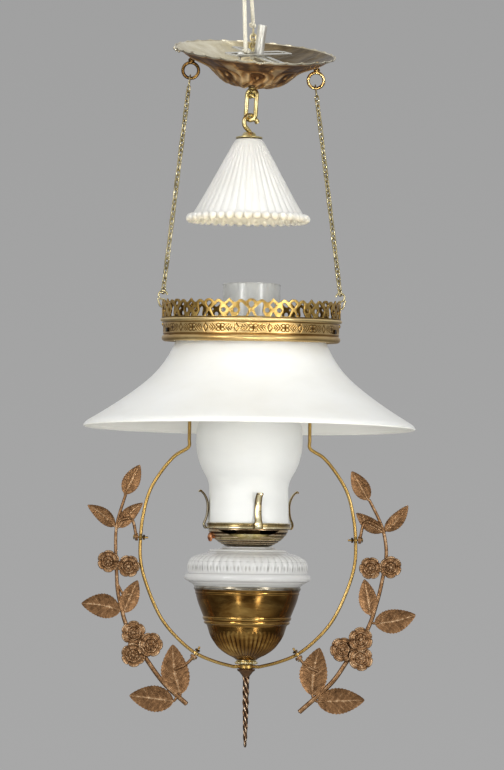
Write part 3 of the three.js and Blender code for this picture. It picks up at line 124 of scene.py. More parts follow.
def mesh_object(name, part, body, material, stands_for=(), place=None, sharp=35):
    """A shaded mesh from a part that rides on a body and may stand for CAD nodes."""
    if place is not None:
        part = moved(part, place)
    points = np.asarray(part[0], float)
    mesh = bpy.data.meshes.new(name)
    mesh.from_pydata((points * MM).tolist(), [], [tuple(int(i) for i in face) for face in part[1]])
    relief = np.asarray(part[2] if len(part) > 2 else [PLAIN] * len(points), np.float32)
    layer = mesh.attributes.new("relief", "FLOAT", "POINT")
    layer.data.foreach_set("value", np.clip(relief, 0, 1))
    made = add_object(name, mesh)
    tidy_faces(mesh, sharp)
    mesh.materials.append(material)
    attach(made, body)
    if stands_for:
        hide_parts(*stands_for)
    return made


def tidy_faces(mesh, sharp):
    """Faces turned outwards, smooth up to an angle."""
    work = bmesh.new()
    work.from_mesh(mesh)
    bmesh.ops.remove_doubles(work, verts=work.verts, dist=1e-7)
    bmesh.ops.recalc_face_normals(work, faces=work.faces)
    for face in work.faces:
        face.smooth = True
    limit = math.radians(sharp)
    for edge in work.edges:
        if len(edge.link_faces) == 2:
            edge.smooth = edge.calc_face_angle(0) < limit
    work.to_mesh(mesh)
    work.free()


def repaint(made, material, chosen):
    """Gives one more material to the faces that are chosen."""
    made.data.materials.append(material)
    index = len(made.data.materials) - 1
    for face in made.data.polygons:
        if chosen(face):
            face.material_index = index


def blend(a, b, low, high, t):
    """The point at t on the line that is at a where t is low and at b where t is high."""
    return (high - t) / (high - low) * a + (t - low) / (high - low) * b


def spline(points, per):
    """A centripetal curve through the points, with some steps from each to the next."""
    p = np.asarray(points, float)
    if len(p) == 2:
        t = np.linspace(0, 1, per + 1)[:, None]
        return p[0] * (1 - t) + p[1] * t
    ends = np.vstack([2 * p[0] - p[1], p, 2 * p[-1] - p[-2]])
    out = []
    for i in range(len(p) - 1):
        a, b, c, d = ends[i : i + 4]
        steps = [max(np.linalg.norm(way), TINY) ** 0.5 for way in (b - a, c - b, d - c)]
        t0, t1, t2, t3 = np.cumsum([0.0, *steps])
        for t in np.linspace(t1, t2, per, endpoint=False):
            e, f, g = blend(a, b, t0, t1, t), blend(b, c, t1, t2, t), blend(c, d, t2, t3, t)
            h, k = blend(e, f, t0, t2, t), blend(f, g, t1, t3, t)
            out.append(blend(h, k, t1, t2, t))
    out.append(p[-1])
    return np.array(out)


def beside(outline, distance):
    """An open outline moved sideways by a distance; positive is to its left."""
    p = np.asarray(outline, float)
    way = np.gradient(p, axis=0)
    way /= np.linalg.norm(way, axis=1)[:, None]
    return p + distance * np.stack([-way[:, 1], way[:, 0]], 1)


def joined(*outlines):
    """Several runs of points as one outline."""
    return [tuple(point) for outline in outlines for point in outline]


def arc(x, z, radius, start, end, steps):
    """Points round (x, z) in the XZ plane, from one angle in degrees to another."""
    angles = np.radians(np.linspace(start, end, steps))
    return [(x + radius * math.cos(a), 0, z + radius * math.sin(a)) for a in angles]


def round_head(radius, rise, steps, low, tip):
    """The outline of a domed head, from its edge to its tip on the axis."""
    turns = np.linspace(0, math.pi / 2, steps)[:-1]
    return [(radius * math.cos(t), low + rise * math.sin(t)) for t in turns] + [(0, tip)]


def grid(rows, columns, start=0, loop=False):
    """Faces between rows of points that close on themselves; loop joins the last row to the first."""
    count = rows * columns
    faces = []
    for i in range(rows if loop else rows - 1):
        for k in range(columns):
            a, b = i * columns + k, i * columns + (k + 1) % columns
            faces.append(tuple(start + v % count for v in (a, b, b + columns, a + columns)))
    return faces


def wound(rows, around, point):
    """A sheet round the Z axis; point(i, k, angle) gives x, y, z and relief."""
    made = [point(i, k, TAU * k / around) for i in range(rows + 1) for k in range(around)]
    return [p[:3] for p in made], grid(rows + 1, around), [p[3] for p in made]


def ring_frames(line, closed):
    """Directions across a line that don't twist along it."""
    n = len(line)
    ahead = np.empty_like(line)
    for i in range(n):
        before = line[i - 1] if i or closed else line[0]
        after = line[(i + 1) % n] if i < n - 1 or closed else line[-1]
        way = after - before
        ahead[i] = way / max(np.linalg.norm(way), 1e-12)
    start = np.array([0.0, 1.0, 0.0])
    if abs(ahead[0] @ start) > 0.9:
        start = np.array([1.0, 0.0, 0.0])
    side = start - ahead[0] * (start @ ahead[0])
    sides = []
    for way in ahead:
        side = side - way * (side @ way)
        side = side / np.linalg.norm(side)
        sides.append(side.copy())
    sides = np.array(sides)
    return sides, np.cross(ahead, sides)


END_BULGE = 0.35  # how far a bar's end stands out, as a share of its radius


def tube(line, radius, around=14, closed=False, section=None, flat=1.0):
    """A round bar along a line; radius may be one number or one for each point. section(i, angles)
    gives the share of the radius at each angle, and flat squeezes one direction."""
    line = np.asarray(line, float)
    n = len(line)
    radii = np.broadcast_to(np.asarray(radius, float), (n,))
    sides, ups = ring_frames(line, closed)
    angles = np.linspace(0, TAU, around, endpoint=False)
    rows = []
    for i in range(n):
        share = section(i, angles) if section else np.ones(around)
        across = np.cos(angles) * share * radii[i]
        along = np.sin(angles) * share * radii[i] * flat
        rows.append(line[i] + across[:, None] * sides[i] + along[:, None] * ups[i])
    verts = np.concatenate(rows)
    faces = grid(n, around, loop=closed)
    if closed:
        return verts, faces
    for end, inner in ((0, 1), (n - 1, n - 2)):
        middle = len(verts)
        way = line[end] - line[inner]
        tip = line[end] + way / max(np.linalg.norm(way), TINY) * radii[end] * END_BULGE
        verts = np.vstack([verts, tip])
        for k in range(around):
            a, b = end * around + k, end * around + (k + 1) % around
            faces.append((middle, a, b) if end else (middle, b, a))
    return verts, faces


def revolve(profile, around, change=None):
    """A turned body from a closed outline of (radius, z), with its points changed by
    change(angle, k, r, z) -> (r, z, relief) where given. An outline point at radius 0 is a pole."""
    verts, faces, relief, rows = [], [], [], []
    angles = np.linspace(0, TAU, around, endpoint=False)
    for k, (r, z) in enumerate(profile):
        if r <= TINY:
            rows.append([len(verts)] * around)
            verts.append((0, 0, z))
            relief.append(PLAIN)
            continue
        rows.append(list(range(len(verts), len(verts) + around)))
        for angle in angles:
            wide, high, raised = change(angle, k, r, z) if change else (r, z, PLAIN)
            verts.append((wide * math.cos(angle), wide * math.sin(angle), high))
            relief.append(raised)
    count = len(profile)
    closed = profile[0][0] > TINY or profile[-1][0] > TINY
    for k in range(count if closed else count - 1):
        low, high = rows[k], rows[(k + 1) % count]
        for i in range(around):
            j = (i + 1) % around
            face = [low[i], low[j], high[j], high[i]]
            kept = [v for n, v in enumerate(face) if v not in face[:n]]
            if len(kept) >= 3:
                faces.append(kept)
    return verts, faces, relief


def ball(radius, around=12, rows=7, squash=1.0, relief=PLAIN):
    turns = np.linspace(-math.pi / 2, math.pi / 2, rows)
    profile = [(max(radius * math.cos(t), 0), radius * squash * math.sin(t)) for t in turns]
    profile[0] = (0, profile[0][1])
    profile[-1] = (0, profile[-1][1])
    verts, faces, _ = revolve(profile, around)
    return verts, faces, [relief] * len(verts)


def wire_ring(radius, z, wire, steps, around=16):
    """A wire bent to a ring that stands in the XZ plane round (0, z)."""
    t = np.linspace(0, TAU, steps, endpoint=False)
    line = np.stack([radius * np.cos(t), 0 * t, radius * np.sin(t) + z], 1)
    return tube(line, wire, around, closed=True)


# Material tools; colours are written with the 0 to 255 values in which they are seen
def new_material(name, **values):
    """A material, its tree and its shader, with values for the shader's inputs."""
    made = bpy.data.materials.new(name)
    made.use_nodes = True
    tree = made.node_tree
    shader = next(n for n in tree.nodes if n.type == "BSDF_PRINCIPLED")
    for key, value in values.items():
        shader.inputs[key.replace("_", " ")].default_value = value
    return made, tree, shader


def add(tree, kind, **values):
    node = tree.nodes.new(kind)
    for key, value in values.items():
        if key in node.inputs:
            node.inputs[key].default_value = value
        else:
            setattr(node, key, value)
    return node


def rgb(red, green, blue):
    def linear(v):
        v /= 255
        return v / 12.92 if v <= 0.04045 else ((v + 0.055) / 1.055) ** 2.4

    return (linear(red), linear(green), linear(blue), 1)


def ramp(tree, source, stops):
    node = add(tree, "ShaderNodeValToRGB")
    elements = node.color_ramp.elements
    while len(elements) < len(stops):
        elements.new(0.5)
    for element, (place, colour) in zip(elements, stops):
        element.position = place
        element.color = rgb(*colour)
    tree.links.new(source, node.inputs["Fac"])
    return node.outputs["Color"]


def noise_out(tree, scale, detail, rough, stretch=(1, 1, 1), distortion=0.0):
    place = add(tree, "ShaderNodeTexCoord")
    mapping = add(tree, "ShaderNodeMapping", Scale=stretch)
    tree.links.new(place.outputs["Object"], mapping.inputs["Vector"])
    made = add(tree, "ShaderNodeTexNoise", Scale=scale, Detail=detail, Roughness=rough, Distortion=distortion)
    tree.links.new(mapping.outputs["Vector"], made.inputs["Vector"])
    return made.outputs["Fac"]


def coordinate(tree, axis, kind="Object"):
    place = add(tree, "ShaderNodeTexCoord")
    parts = add(tree, "ShaderNodeSeparateXYZ")
    tree.links.new(place.outputs[kind], parts.inputs["Vector"])
    return parts.outputs[axis]


def between(tree, source, low, high, to_low=0.0, to_high=1.0):
    """A value's share of the way from low to high, drawn out over another span."""
    node = add(tree, "ShaderNodeMapRange",
               **{"From Min": low, "From Max": high, "To Min": to_low, "To Max": to_high})
    tree.links.new(source, node.inputs["Value"])
    return node.outputs["Result"]


def mix_value(tree, a, b, share):
    """a and b blended by a share; each is a socket or a number."""
    node = add(tree, "ShaderNodeMix", data_type="FLOAT")
    for socket, value in zip((node.inputs[0], node.inputs[2], node.inputs[3]), (share, a, b)):
        if hasattr(value, "node"):
            tree.links.new(value, socket)
        else:
            socket.default_value = value
    return node.outputs[0]


def multiplied(tree, a, b):
    node = add(tree, "ShaderNodeMix", data_type="RGBA", blend_type="MULTIPLY")
    node.inputs[0].default_value = 1.0
    tree.links.new(a, node.inputs[6])
    tree.links.new(b, node.inputs[7])
    return node.outputs[2]


def roughen(tree, shader, source, strength, distance):
    bumped = add(tree, "ShaderNodeBump", Strength=strength, Distance=distance)
    tree.links.new(source, bumped.inputs["Height"])
    tree.links.new(bumped.outputs["Normal"], shader.inputs["Normal"])


def relief_value(tree):
    return add(tree, "ShaderNodeAttribute", attribute_name="relief").outputs["Fac"]


def metal(name, dark, mid, bright, rough, scale, relief_share, bump, bump_scale=900, stretch=(1, 1, 1)):
    """Old metal: hollows are dark, high places rubbed bright, with stains and fine marks."""
    made, tree, shader = new_material(name, Metallic=1.0)
    stains = noise_out(tree, scale, 6, 0.65, stretch, distortion=0.4)
    tone = mix_value(tree, stains, relief_value(tree), relief_share)
    colour = ramp(tree, tone, [(0.28, dark), (0.5, mid), (0.74, bright)])
    tree.links.new(colour, shader.inputs["Base Color"])
    wear = noise_out(tree, scale * 2.3, 5, 0.7, stretch)
    tree.links.new(between(tree, wear, 0.3, 0.7, *rough), shader.inputs["Roughness"])
    if bump:
        roughen(tree, shader, noise_out(tree, bump_scale, 3, 0.5, stretch), bump, 0.0004)
    return made


brass_old = metal("old_brass", (66, 48, 26), (158, 128, 78), (240, 220, 168), (0.18, 0.36), 45, 0.4, 0.1)
brass_gold = metal("gold_brass", (110, 94, 54), (194, 176, 120), (252, 246, 212), (0.24, 0.4), 90, 0.3, 0.08)
brass_cream = metal("cream_brass", (150, 132, 90), (222, 208, 166), (252, 248, 226), (0.34, 0.5), 90, 0.3, 0.1)
brass_wire = metal("wire_brass", (140, 108, 56), (178, 146, 84), (216, 188, 126), (0.3, 0.4), 14, 0.3, 0)
brass_dark = metal("dark_brass", (34, 24, 12), (96, 70, 36), (190, 150, 86), (0.25, 0.45), 60, 0.45, 0.12)
brass_pierced = metal("pierced_brass", (66, 46, 18), (134, 104, 50), (206, 174, 104), (0.3, 0.46), 60, 0.3, 0.15)
brass_chain = metal("chain_brass", (92, 82, 56), (186, 174, 134), (248, 244, 222), (0.24, 0.4), 90, 0.3, 0.08)
brass_band = metal("band_brass", (64, 40, 14), (166, 128, 70), (248, 226, 168), (0.28, 0.44), 26, 0.76, 0.1)
bronze = metal("spray_bronze", (54, 36, 24), (136, 102, 70), (232, 202, 164), (0.36, 0.56), 190, 0.5, 0.45)
copper = metal("canopy_copper", (96, 62, 34), (184, 138, 88), (246, 214, 164), (0.3, 0.46), 60, 0.5, 0.25, 500)
rim_pewter = metal("rim_pewter", (52, 44, 34), (136, 128, 112), (236, 232, 220), (0.16, 0.3), 40, 0.3, 0.08)
bowl_brass = metal("bowl_brass", (50, 30, 10), (126, 90, 42), (216, 178, 104), (0.12, 0.26), 30, 0.4, 0.05, 600,
                   (1, 1, 2.5))
burner_brass = metal("burner_brass", (54, 38, 22), (144, 114, 78), (236, 218, 184), (0.2, 0.4), 80, 0.75, 0.1)
zinc = metal("zinc", (178, 176, 168), (222, 221, 214), (250, 249, 243), (0.34, 0.52), 90, 0.2, 0.12, 700)
finial_metal = metal("finial_metal", (40, 26, 18), (112, 84, 60), (192, 170, 144), (0.26, 0.42), 80, 0.75, 0.15)
rim_silver = metal("canopy_rim", (120, 104, 78), (206, 196, 170), (248, 244, 230), (0.24, 0.4), 60, 0.5, 0.1)
prong_silver = metal("prong_metal", (70, 54, 28), (170, 148, 102), (250, 240, 204), (0.2, 0.4), 80, 0.7, 0.12)
knob_copper = metal("knob_copper", (84, 48, 28), (176, 112, 74), (232, 180, 138), (0.22, 0.4), 90, 0.5, 0.2)


def canopy_stain_and_painted_reflection():
    """Silvery and pale towards the left and dark olive towards the right, a painted reflection, with streaks of
    stain.
    """
    made, tree, shader = new_material("canopy_stain_and_painted_reflection", Metallic=1.0, Roughness=0.34)
    # Painted reflection: lighter towards the left, darker towards the right
    across = between(tree, coordinate(tree, "X"), 0.03, -0.03)
    streaks = noise_out(tree, 26, 5, 0.65, (1, 1.6, 1), distortion=1.6)
    colour = ramp(tree, mix_value(tree, streaks, across, 0.45),
                  [(0.2, (84, 70, 48)), (0.42, (138, 120, 88)), (0.6, (200, 189, 158)), (0.8, (236, 229, 206))])
    tree.links.new(colour, shader.inputs["Base Color"])
    roughen(tree, shader, noise_out(tree, 60, 3, 0.5), 0.5, 0.003)
    return made


def white_glass(name, tint, shade_tint, rough, weight, depth, painted_light_height=None):
    """Opal glass; the last argument, where given, is the height in metres below which warm light is painted on,
    turning it cream.
    """
    made, tree, shader = new_material(name, Roughness=rough, IOR=1.5, Subsurface_Weight=weight,
                                      Subsurface_Radius=(1.0, 0.93, 0.8), Subsurface_Scale=depth)
    colour = ramp(tree, noise_out(tree, 14, 3, 0.5, (1, 1, 2)), [(0.3, shade_tint), (0.7, tint)])
    if painted_light_height:
        # Painted warm light on the glass below that height
        height = between(tree, coordinate(tree, "Z"), painted_light_height - 0.004, painted_light_height + 0.003)
        colour = multiplied(tree, colour, ramp(tree, height, [(0.0, (255, 240, 208)), (1.0, (255, 255, 255))]))
    tree.links.new(colour, shader.inputs["Base Color"])
    roughen(tree, shader, noise_out(tree, 30, 2, 0.4, (1, 1, 3)), 0.06, 0.002)
    return made


def crystal():
    """Pressed glass with painted shade, greyer in the hollows of its pattern."""
    made, tree, shader = new_material("font_crystal", Roughness=0.03, IOR=1.48, Transmission_Weight=0.52)
    colour = ramp(tree, relief_value(tree), [(0.0, (96, 96, 90)), (0.3, (206, 207, 202)), (0.6, (255, 255, 254))])
    tree.links.new(colour, shader.inputs["Base Color"])
    roughen(tree, shader, noise_out(tree, 200, 3, 0.5), 0.35, 0.0008)
    return made


def chimney_glass():
    """Clear at the top and opal from the shade's neck down."""
    made, tree, shader = new_material("chimney_glass", IOR=1.48, Subsurface_Weight=0.2,
                                      Subsurface_Radius=(1.0, 0.95, 0.85), Subsurface_Scale=0.01)
    clear = between(tree, coordinate(tree, "Z"), -0.385, -0.352, to_high=0.6)
    tree.links.new(clear, shader.inputs["Transmission Weight"])
    tree.links.new(mix_value(tree, 0.5, 0.02, clear), shader.inputs["Roughness"])
    veil = noise_out(tree, 16, 3, 0.5, (1, 1, 2))
    tree.links.new(ramp(tree, veil, [(0.3, (226, 227, 224)), (0.7, (234, 235, 232))]), shader.inputs["Base Color"])
    return made


def cord_cotton():
    made, tree, shader = new_material("cotton_cord", Roughness=0.85, Sheen_Weight=0.3)
    fluff = noise_out(tree, 900, 4, 0.6, (1, 1, 3))
    tree.links.new(ramp(tree, fluff, [(0.3, (196, 188, 166)), (0.7, (240, 236, 220))]), shader.inputs["Base Color"])
    roughen(tree, shader, fluff, 0.5, 0.0004)
    return made


def burnt_cotton():
    """Woven cotton, charred at the wick's top."""
    made, tree, shader = new_material("wick_cotton", Roughness=0.9)
    weave = noise_out(tree, 1400, 3, 0.6)
    pale = ramp(tree, weave, [(0.35, (186, 172, 140)), (0.65, (228, 218, 194))])
    height = between(tree, coordinate(tree, "Z"), -0.5535, -0.5495)
    burnt = ramp(tree, height, [(0.0, (255, 255, 255)), (1.0, (48.386, 43.82, 38.684))])
    tree.links.new(multiplied(tree, pale, burnt), shader.inputs["Base Color"])
    roughen(tree, shader, weave, 0.5, 0.0004)
    return made


# Below this height the bell's rim is painted with warm light
BELL_RIM_TOP = -0.2495
canopy_inner_stain_and_reflection = canopy_stain_and_painted_reflection()
shade_white = white_glass("shade_opal", (235, 236, 233), (226, 226, 221), 0.3, 0.4, 0.012)
# The shade's inner faces get a brighter copy of its opal glass: painted light for what shines through
shade_painted_light_faces = white_glass("opal_painted_light_inner", (255, 254, 248), (250, 249, 241), 0.4, 0, 0.01)
bell_white = white_glass("bell_milk_glass", (224, 224, 222), (218, 218, 214), 0.28, 0.15, 0.004, BELL_RIM_TOP)
# The bell's inner faces get a brighter, warmer copy of its glass: painted light on its underside
bell_painted_light_faces = white_glass("milk_glass_painted_light_inner", (255, 248, 226), (255, 243, 212), 0.4, 0.3, 0.02)
font_crystal = crystal()
chimney_white = chimney_glass()
cotton = cord_cotton()
wick_cotton = burnt_cotton()

# Cords: taut between what they are tied to and the ferrule of the hanging eye
CANOPY = at(AXIS, -6.5, -80.4) @ turned(3.8, "Y") @ turned(16.5, "X")
CROSSBAR_TURN = turned(7.5, "Y") @ turned(16.5, "X")
CROSSBAR = at(AXIS + 3.7, -8.3, -81.6) @ CROSSBAR_TURN
STRAP_ANGLE = math.radians(55)
HOOK = (AXIS - 2.161, 3.157)
CORD_PLACE, SCREW_PLACE = 22, 31  # along the strap from the nipple


def on_strap(distance):
    return CROSSBAR @ Vector((-distance * math.cos(STRAP_ANGLE), -distance * math.sin(STRAP_ANGLE), 0))


def rope(name, foot, top, radius, node):
    foot, top = Vector(foot), Vector(top)
    line = spline([foot, foot.lerp(top, 0.5), top], 60)

    def strands(i, angles):
        return 0.88 + 0.12 * np.abs(np.cos(1.5 * (angles - i * 0.42)))

    made = mesh_object(name, tube(line, radius, 24, section=strands), "canopy", cotton, [node], sharp=60)


def knot(name, place, size, turns):
    """A tight overhand knot: a cord wound round itself."""
    t = np.linspace(0, TAU, 60, endpoint=False)
    line = np.stack([
        size * (np.sin(t) + 1.6 * np.sin(2 * t)) / 2.2,
        size * (np.cos(t) - 1.6 * np.cos(2 * t)) / 2.6,
        size * turns * -np.sin(3 * t) / 2,
    ], 1)
    mesh_object(name, tube(line, size * 0.42, 12, closed=True), "canopy", cotton, place=at(*place), sharp=60)


left_foot = on_strap(CORD_PLACE) + Vector((0, 0, 1.4))
right_foot = Vector((*HOOK, -54.2))
rope("cord_left_rope", left_foot, (-3.7, 0, -24.2), 2.1, "cord_left")
rope("cord_right_rope", right_foot, (3.7, 0, -24.2), 2.0, "cord_right")
knot("cord_left_knot", left_foot + Vector((0, 0, 0.6)), 2.7, 0.9)
knot("cord_right_knot", right_foot + Vector((-0.8, -0.6, 2.6)), 2.5, 1.2)


# Hanging eye and its ferrule
def hanging_eye():
    ferrule = [(0, -23.3), (5.9, -23.3), (6.5, -22.9), (6.8, -22.2), (6.8, -20.5), (6.2, -20.1), (6.2, -16.6),
               (6.8, -16.2), (6.8, -14.6), (6.5, -13.8), (5.9, -13.3), (0, -13.3)]
    made = merged([wire_ring(7.3, -6, 1.3, 48), revolve(ferrule, 48)])
    mesh_object("hanging_eye_full", made, "canopy", zinc, ["hanging_eye"])


hanging_eye()


def stadium(length, width, wire, per):
    """The middle line of an oval link in the XZ plane; length is from bar to bar."""
    radius = (width - wire) / 2
    half = length / 2 - radius
    line = []
    for start, shift in ((0, half), (math.pi, -half)):
        for k in range(per + 1):
            turn = start + math.pi * k / per
            line.append((radius * math.cos(turn), 0, radius * math.sin(turn) + shift))
    return np.array(line)


def chain_link(length, width, wire, per=8, around=10):
    return tube(stadium(length, width, wire, per), wire / 2, around, closed=True)


def top_chain():
    pitch, wire, top = 4.87, 2.2, -55.9
    bar = pitch + wire * 0.75
    parts = []
    for i in range(3):
        place = at(*HOOK, top - i * pitch - bar / 2) @ turned(90 * ((i + 1) % 2), "Z")
        parts.append(moved(chain_link(bar + 0.5, 7.4, wire), place))
    mesh_object("top_chain_links", merged(parts), "canopy", brass_cream, ["top_chain"])


top_chain()


# Canopy: pressed with eight leaves, with small lobes round its rim, and an inside painted with a reflection, pale on
# the left
def acanthus(angle, r):
    """Height, from 0 to 1, of the pressed leaves, which sway outwards and curl back between each other."""
    along = clamp((r - 8) / 46)
    turn = (angle / TAU * 8 + 0.14 * math.sin(along * 5.5 + 0.6)) % 1
    side = abs(turn - 0.5) * 2
    width = 0.96 * math.sin(math.pi * min(along * 0.8 + 0.14, 1)) ** 0.6
    lobes = max(width * (0.78 + 0.22 * abs(math.cos(along * 10 + 0.4))), 0.05)
    body = max(0.0, 1 - (side / lobes) ** 4)
    veins = abs(math.sin(8.5 * (along - side * 0.45)))
    spine = math.exp(-(side / 0.1) ** 2)
    reach = math.hypot((1 - side) * 9, (along - 0.74) * 24)
    curl = max(0.0, math.cos(reach * 1.2)) * math.exp(-((reach / 7) ** 2))
    far = math.hypot(side * 14, (r - 66) * 0.9)
    outer = 0.5 * max(0.0, math.cos(far * 0.9)) * math.exp(-((far / 9) ** 2))
    return min(1.0, body * (0.2 + 0.6 * veins + 0.5 * spine) + 0.85 * curl * (1 - 0.5 * body) + outer)


def canopy():
    curve = [(3.2, -34), (8.1, -33.9), (16, -33.4), (23, -32), (30, -29.4), (36.5, -25.2), (42, -20),
             (46.5, -16.2), (51.5, -13.2), (58, -10.4), (66, -7.2), (75, -3.2), (80.2, -0.6)]
    outer = spline(curve, 8)
    rim = [(81.2, 0.1), (81.4, 0.9), (80.6, 1.3)]
    inside = len(outer) + len(rim)

    def change(angle, k, r, z):
        height = acanthus(angle, r)
        if k >= inside:
            return r, z - 0.7 * height * clamp((79 - r) / 6), 0.35 + 0.4 * height
        height *= clamp((r - 6) / 10) * clamp((76 - r) / 8)
        lobe = (abs(math.cos(angle * 15)) ** 0.7 - 0.3) * clamp((r - 77) / 3)
        return r + 0.3 * lobe, z - 2.0 * height - 1.1 * lobe, 0.1 + 0.8 * height if r < 76 else 0.6

    shell = revolve(joined(outer, rim, beside(outer, 0.8)[::-1]), 480, change)
    made = mesh_object("canopy_shell", shell, "canopy", copper, ["canopy"], CANOPY, 60)
    away = CANOPY.to_3x3() @ Vector((0, 0, 1))
    middle = CANOPY.translation * MM
    # The inner faces get the inside metal, with its painted reflection
    repaint(made, canopy_inner_stain_and_reflection, lambda face: face.normal.dot(away) > 0.25)
    repaint(made, rim_silver, lambda face: (face.center - middle).length / MM > 79.4)
    drops = ((-80.6, -10, -1.2, 1.9), (-78.6, -16, -2.2, 1.6), (-75.6, -22, -2.6, 1.5))
    made = merged([moved(ball(size), at(x, y, z)) for x, y, z, size in drops])
    mesh_object("canopy_rim_drops", made, "canopy", rim_silver, place=CANOPY)


canopy()


def eye_bolt(side, word, material):
    ring = wire_ring(7.9, -23.7, 1.65, 56)
    stem = revolve([(0, -16.6), (1.65, -16.4), (1.65, -5.2), (1.2, -4.8), (0, -4.8)], 20)
    flange = revolve([(0, -15.6), (2.2, -15.6), (3.2, -14.8), (3.4, -12.6), (2.6, -11.4), (0, -11.4)], 24)
    nut = revolve([(0, -8), (3.4, -8), (3.4, -6.6), (3.0, -6.3), (0, -6.3)], 6)
    name = f"eye_bolt_{word}"
    made = merged([ring, stem, flange, nut])
    mesh_object(name + "_round", made, "canopy", material, [name], CANOPY @ at(side * 63.2))


eye_bolt(-1, "left", brass_dark)
eye_bolt(1, "right", brass_old)


def bevelled(name, material, width=0.25):
    """A CAD node that keeps its shape, with softened edges and its own metal."""
    shown = nodes[name]
    shown.data.materials.clear()
    shown.data.materials.append(material)
    soft = shown.modifiers.new("edges", "BEVEL")
    soft.width = width * MM
    soft.segments = 2
    soft.limit_method = "ANGLE"
    soft.angle_limit = math.radians(30)


for plain in ("crossbar_upper", "crossbar_lower", "locknut"):
    bevelled(plain, zinc)


def nipple():
    """Threaded all along, with a smooth bore."""
    pitch, top, bottom = 1.15, 28.0, -12.0
    rows = int((top - bottom) / pitch * 6)

    def thread(i, k, angle):
        z = bottom + (top - bottom) * i / rows
        wave = 0.5 + 0.5 * math.cos(TAU * z / pitch - angle)
        r = 4.56 + 0.24 * wave
        return r * math.cos(angle), r * math.sin(angle), z, wave

    bore = revolve([(4.5, top), (3.6, top + 0.05), (3.4, top - 0.4), (3.4, bottom + 0.4), (3.6, bottom),
                    (4.5, bottom)], 40)
    made = merged([wound(rows, 40, thread), bore])
    mesh_object("nipple_thread", made, "canopy", zinc, ["nipple"], CROSSBAR, 50)


nipple()


def crossbar_screw():
    """Round head with a short shank."""
    profile = [(0, -6.2), (1.4, -6.2), (1.4, -0.1), (4.2, -0.1), *round_head(4.2, 1.9, 8, 0, 1.9)]
    place = Matrix.Translation(on_strap(SCREW_PLACE)) @ CROSSBAR_TURN
    mesh_object("crossbar_screw_round", revolve(profile, 32), "canopy", zinc, ["crossbar_screw"], place)


crossbar_screw()


def turned_about(z, turn):
    """A turn about a point of the Z axis."""
    return at(z=z) @ turn @ at(z=-z)


# Centre hook: an eye above, a twisted link below the canopy, which the smoke bell hangs on.
# The link and the bell's hook lean a little, so that the bell hangs to the left.
HOOK_LEAN = turned_about(-115, turned(3, "Y"))
BELL_SHIFT = -2.6


def centre_hook():
    stem = revolve([(0, -74.5), (1.6, -74.9), (2.1, -76), (2.1, -114), (4.1, -114.7), (4.4, -115.6),
                    (4.0, -116.6), (0, -117)], 28)
    link = [tube(stadium(31, 14.3, 4, 12) + np.array([0, 0, -132.5]), 2.2, 18, closed=True)]
    s = np.linspace(0, 1, 24)
    for start in (0, math.pi):
        line = np.stack([2.3 * np.cos(start + s * 6), 2.3 * np.sin(start + s * 6), -115.8 - s * 9], 1)
        link.append(tube(line, 1.7, 12))
    link = moved(merged(link), HOOK_LEAN @ turned(-20, "Z"))
    made = merged([wire_ring(3.3, -72.85, 1.2, 40, 14), stem, link])
    mesh_object("centre_hook_round", made, "canopy", brass_gold, ["centre_hook"], at(*HOOK))


centre_hook()


# Smoke bell of ribbed milk glass on its hook
def bell():
    line = spline([(0, 0, -162), (0, 0, -160), (-2.4, 0, -158), *arc(0, -150.62, 7.65, 215, 40, 11),
                   (9.4, 0, -149.2)], 5)
    radius = np.full(len(line), 2.3)
    radius[-4:] = 2.6
    place = at(*HOOK) @ HOOK_LEAN @ turned(38, "Z")
    mesh_object("bell_hook_round", tube(line, radius, 18), "smoke_bell", brass_gold, ["bell_hook"], place)
    cap = [(0, -176.2), (3.9, -176.2), (4, -175.8), (4, -166.8), (13, -166.8), (13.5, -166.3), (13.4, -165.4),
           (11.6, -165), (7.2, -164), (6.8, -162.4), (5.4, -160.6), (2.4, -160.3), (0, -160.3)]
    place = at(HOOK[0] + BELL_SHIFT, HOOK[1])
    mesh_object("bell_cap_round", revolve(cap, 48), "smoke_bell", brass_gold, ["bell_cap"], place)
    outer = spline([(5, -167.2), (12.4, -167.4), (14.6, -169.7), (22, -183.5), (30.6, -199.5), (39.6, -216),
                    (48.6, -232), (56.2, -244.6)], 9)
    rim = [(57.0, -246.0), (57.6, -247.4), (57.4, -248.8), (56.2, -249.6), (54.8, -249.2)]
    inside = len(outer) + len(rim)

    def ribs(angle, k, r, z):
        grow = clamp((r - 14) / 10)
        wave = abs(math.cos(angle * 20)) ** 0.8
        return r + (1.5 * wave - 0.9 if k < inside else 0.35 * wave) * grow, z, wave

    parts = [revolve(joined(outer, rim, beside(outer, -2.6)[::-1][2:]), 480, ribs)]
    beads = 40
    for i in range(beads):
        turn = TAU * i / beads
        parts.append(moved(ball(4.4, 20, 13), at(58.2 * math.cos(turn), 58.2 * math.sin(turn), -247.4)))
    lean = turned_about(-167, turned(2.4, "X"))
    made = mesh_object("smoke_bell_ribbed", merged(parts), "smoke_bell", bell_white, ["smoke_bell"], place @ lean, 60)
    middle = Vector((place.translation.x, place.translation.y, 0)) * MM

    def looks_inwards(face):
        off = face.center - middle
        away = math.hypot(off.x, off.y)
        outward = (face.normal.x * off.x + face.normal.y * off.y) / max(away, TINY)
        return away < 59 * MM and outward < 0.1 and face.normal.z < 0.4

    # Inner faces get the brighter, warmer copy, as painted light
    repaint(made, bell_painted_light_faces, looks_inwards)


bell()
bevelled("bell_nut", brass_old)

# Side chains: a jump ring and small links, each a quarter turn from the next
CHAIN_TOPS = {"left": (-57.069, 2.475, -103.644), "right": (69.053, 2.475, -112.021)}
HOOK_OUT, HOOK_TOP = 88.85, -323.65
JUMP_LENGTH = 11.3
LINK_COUNT, LINK_WIRE = 42, 1.7


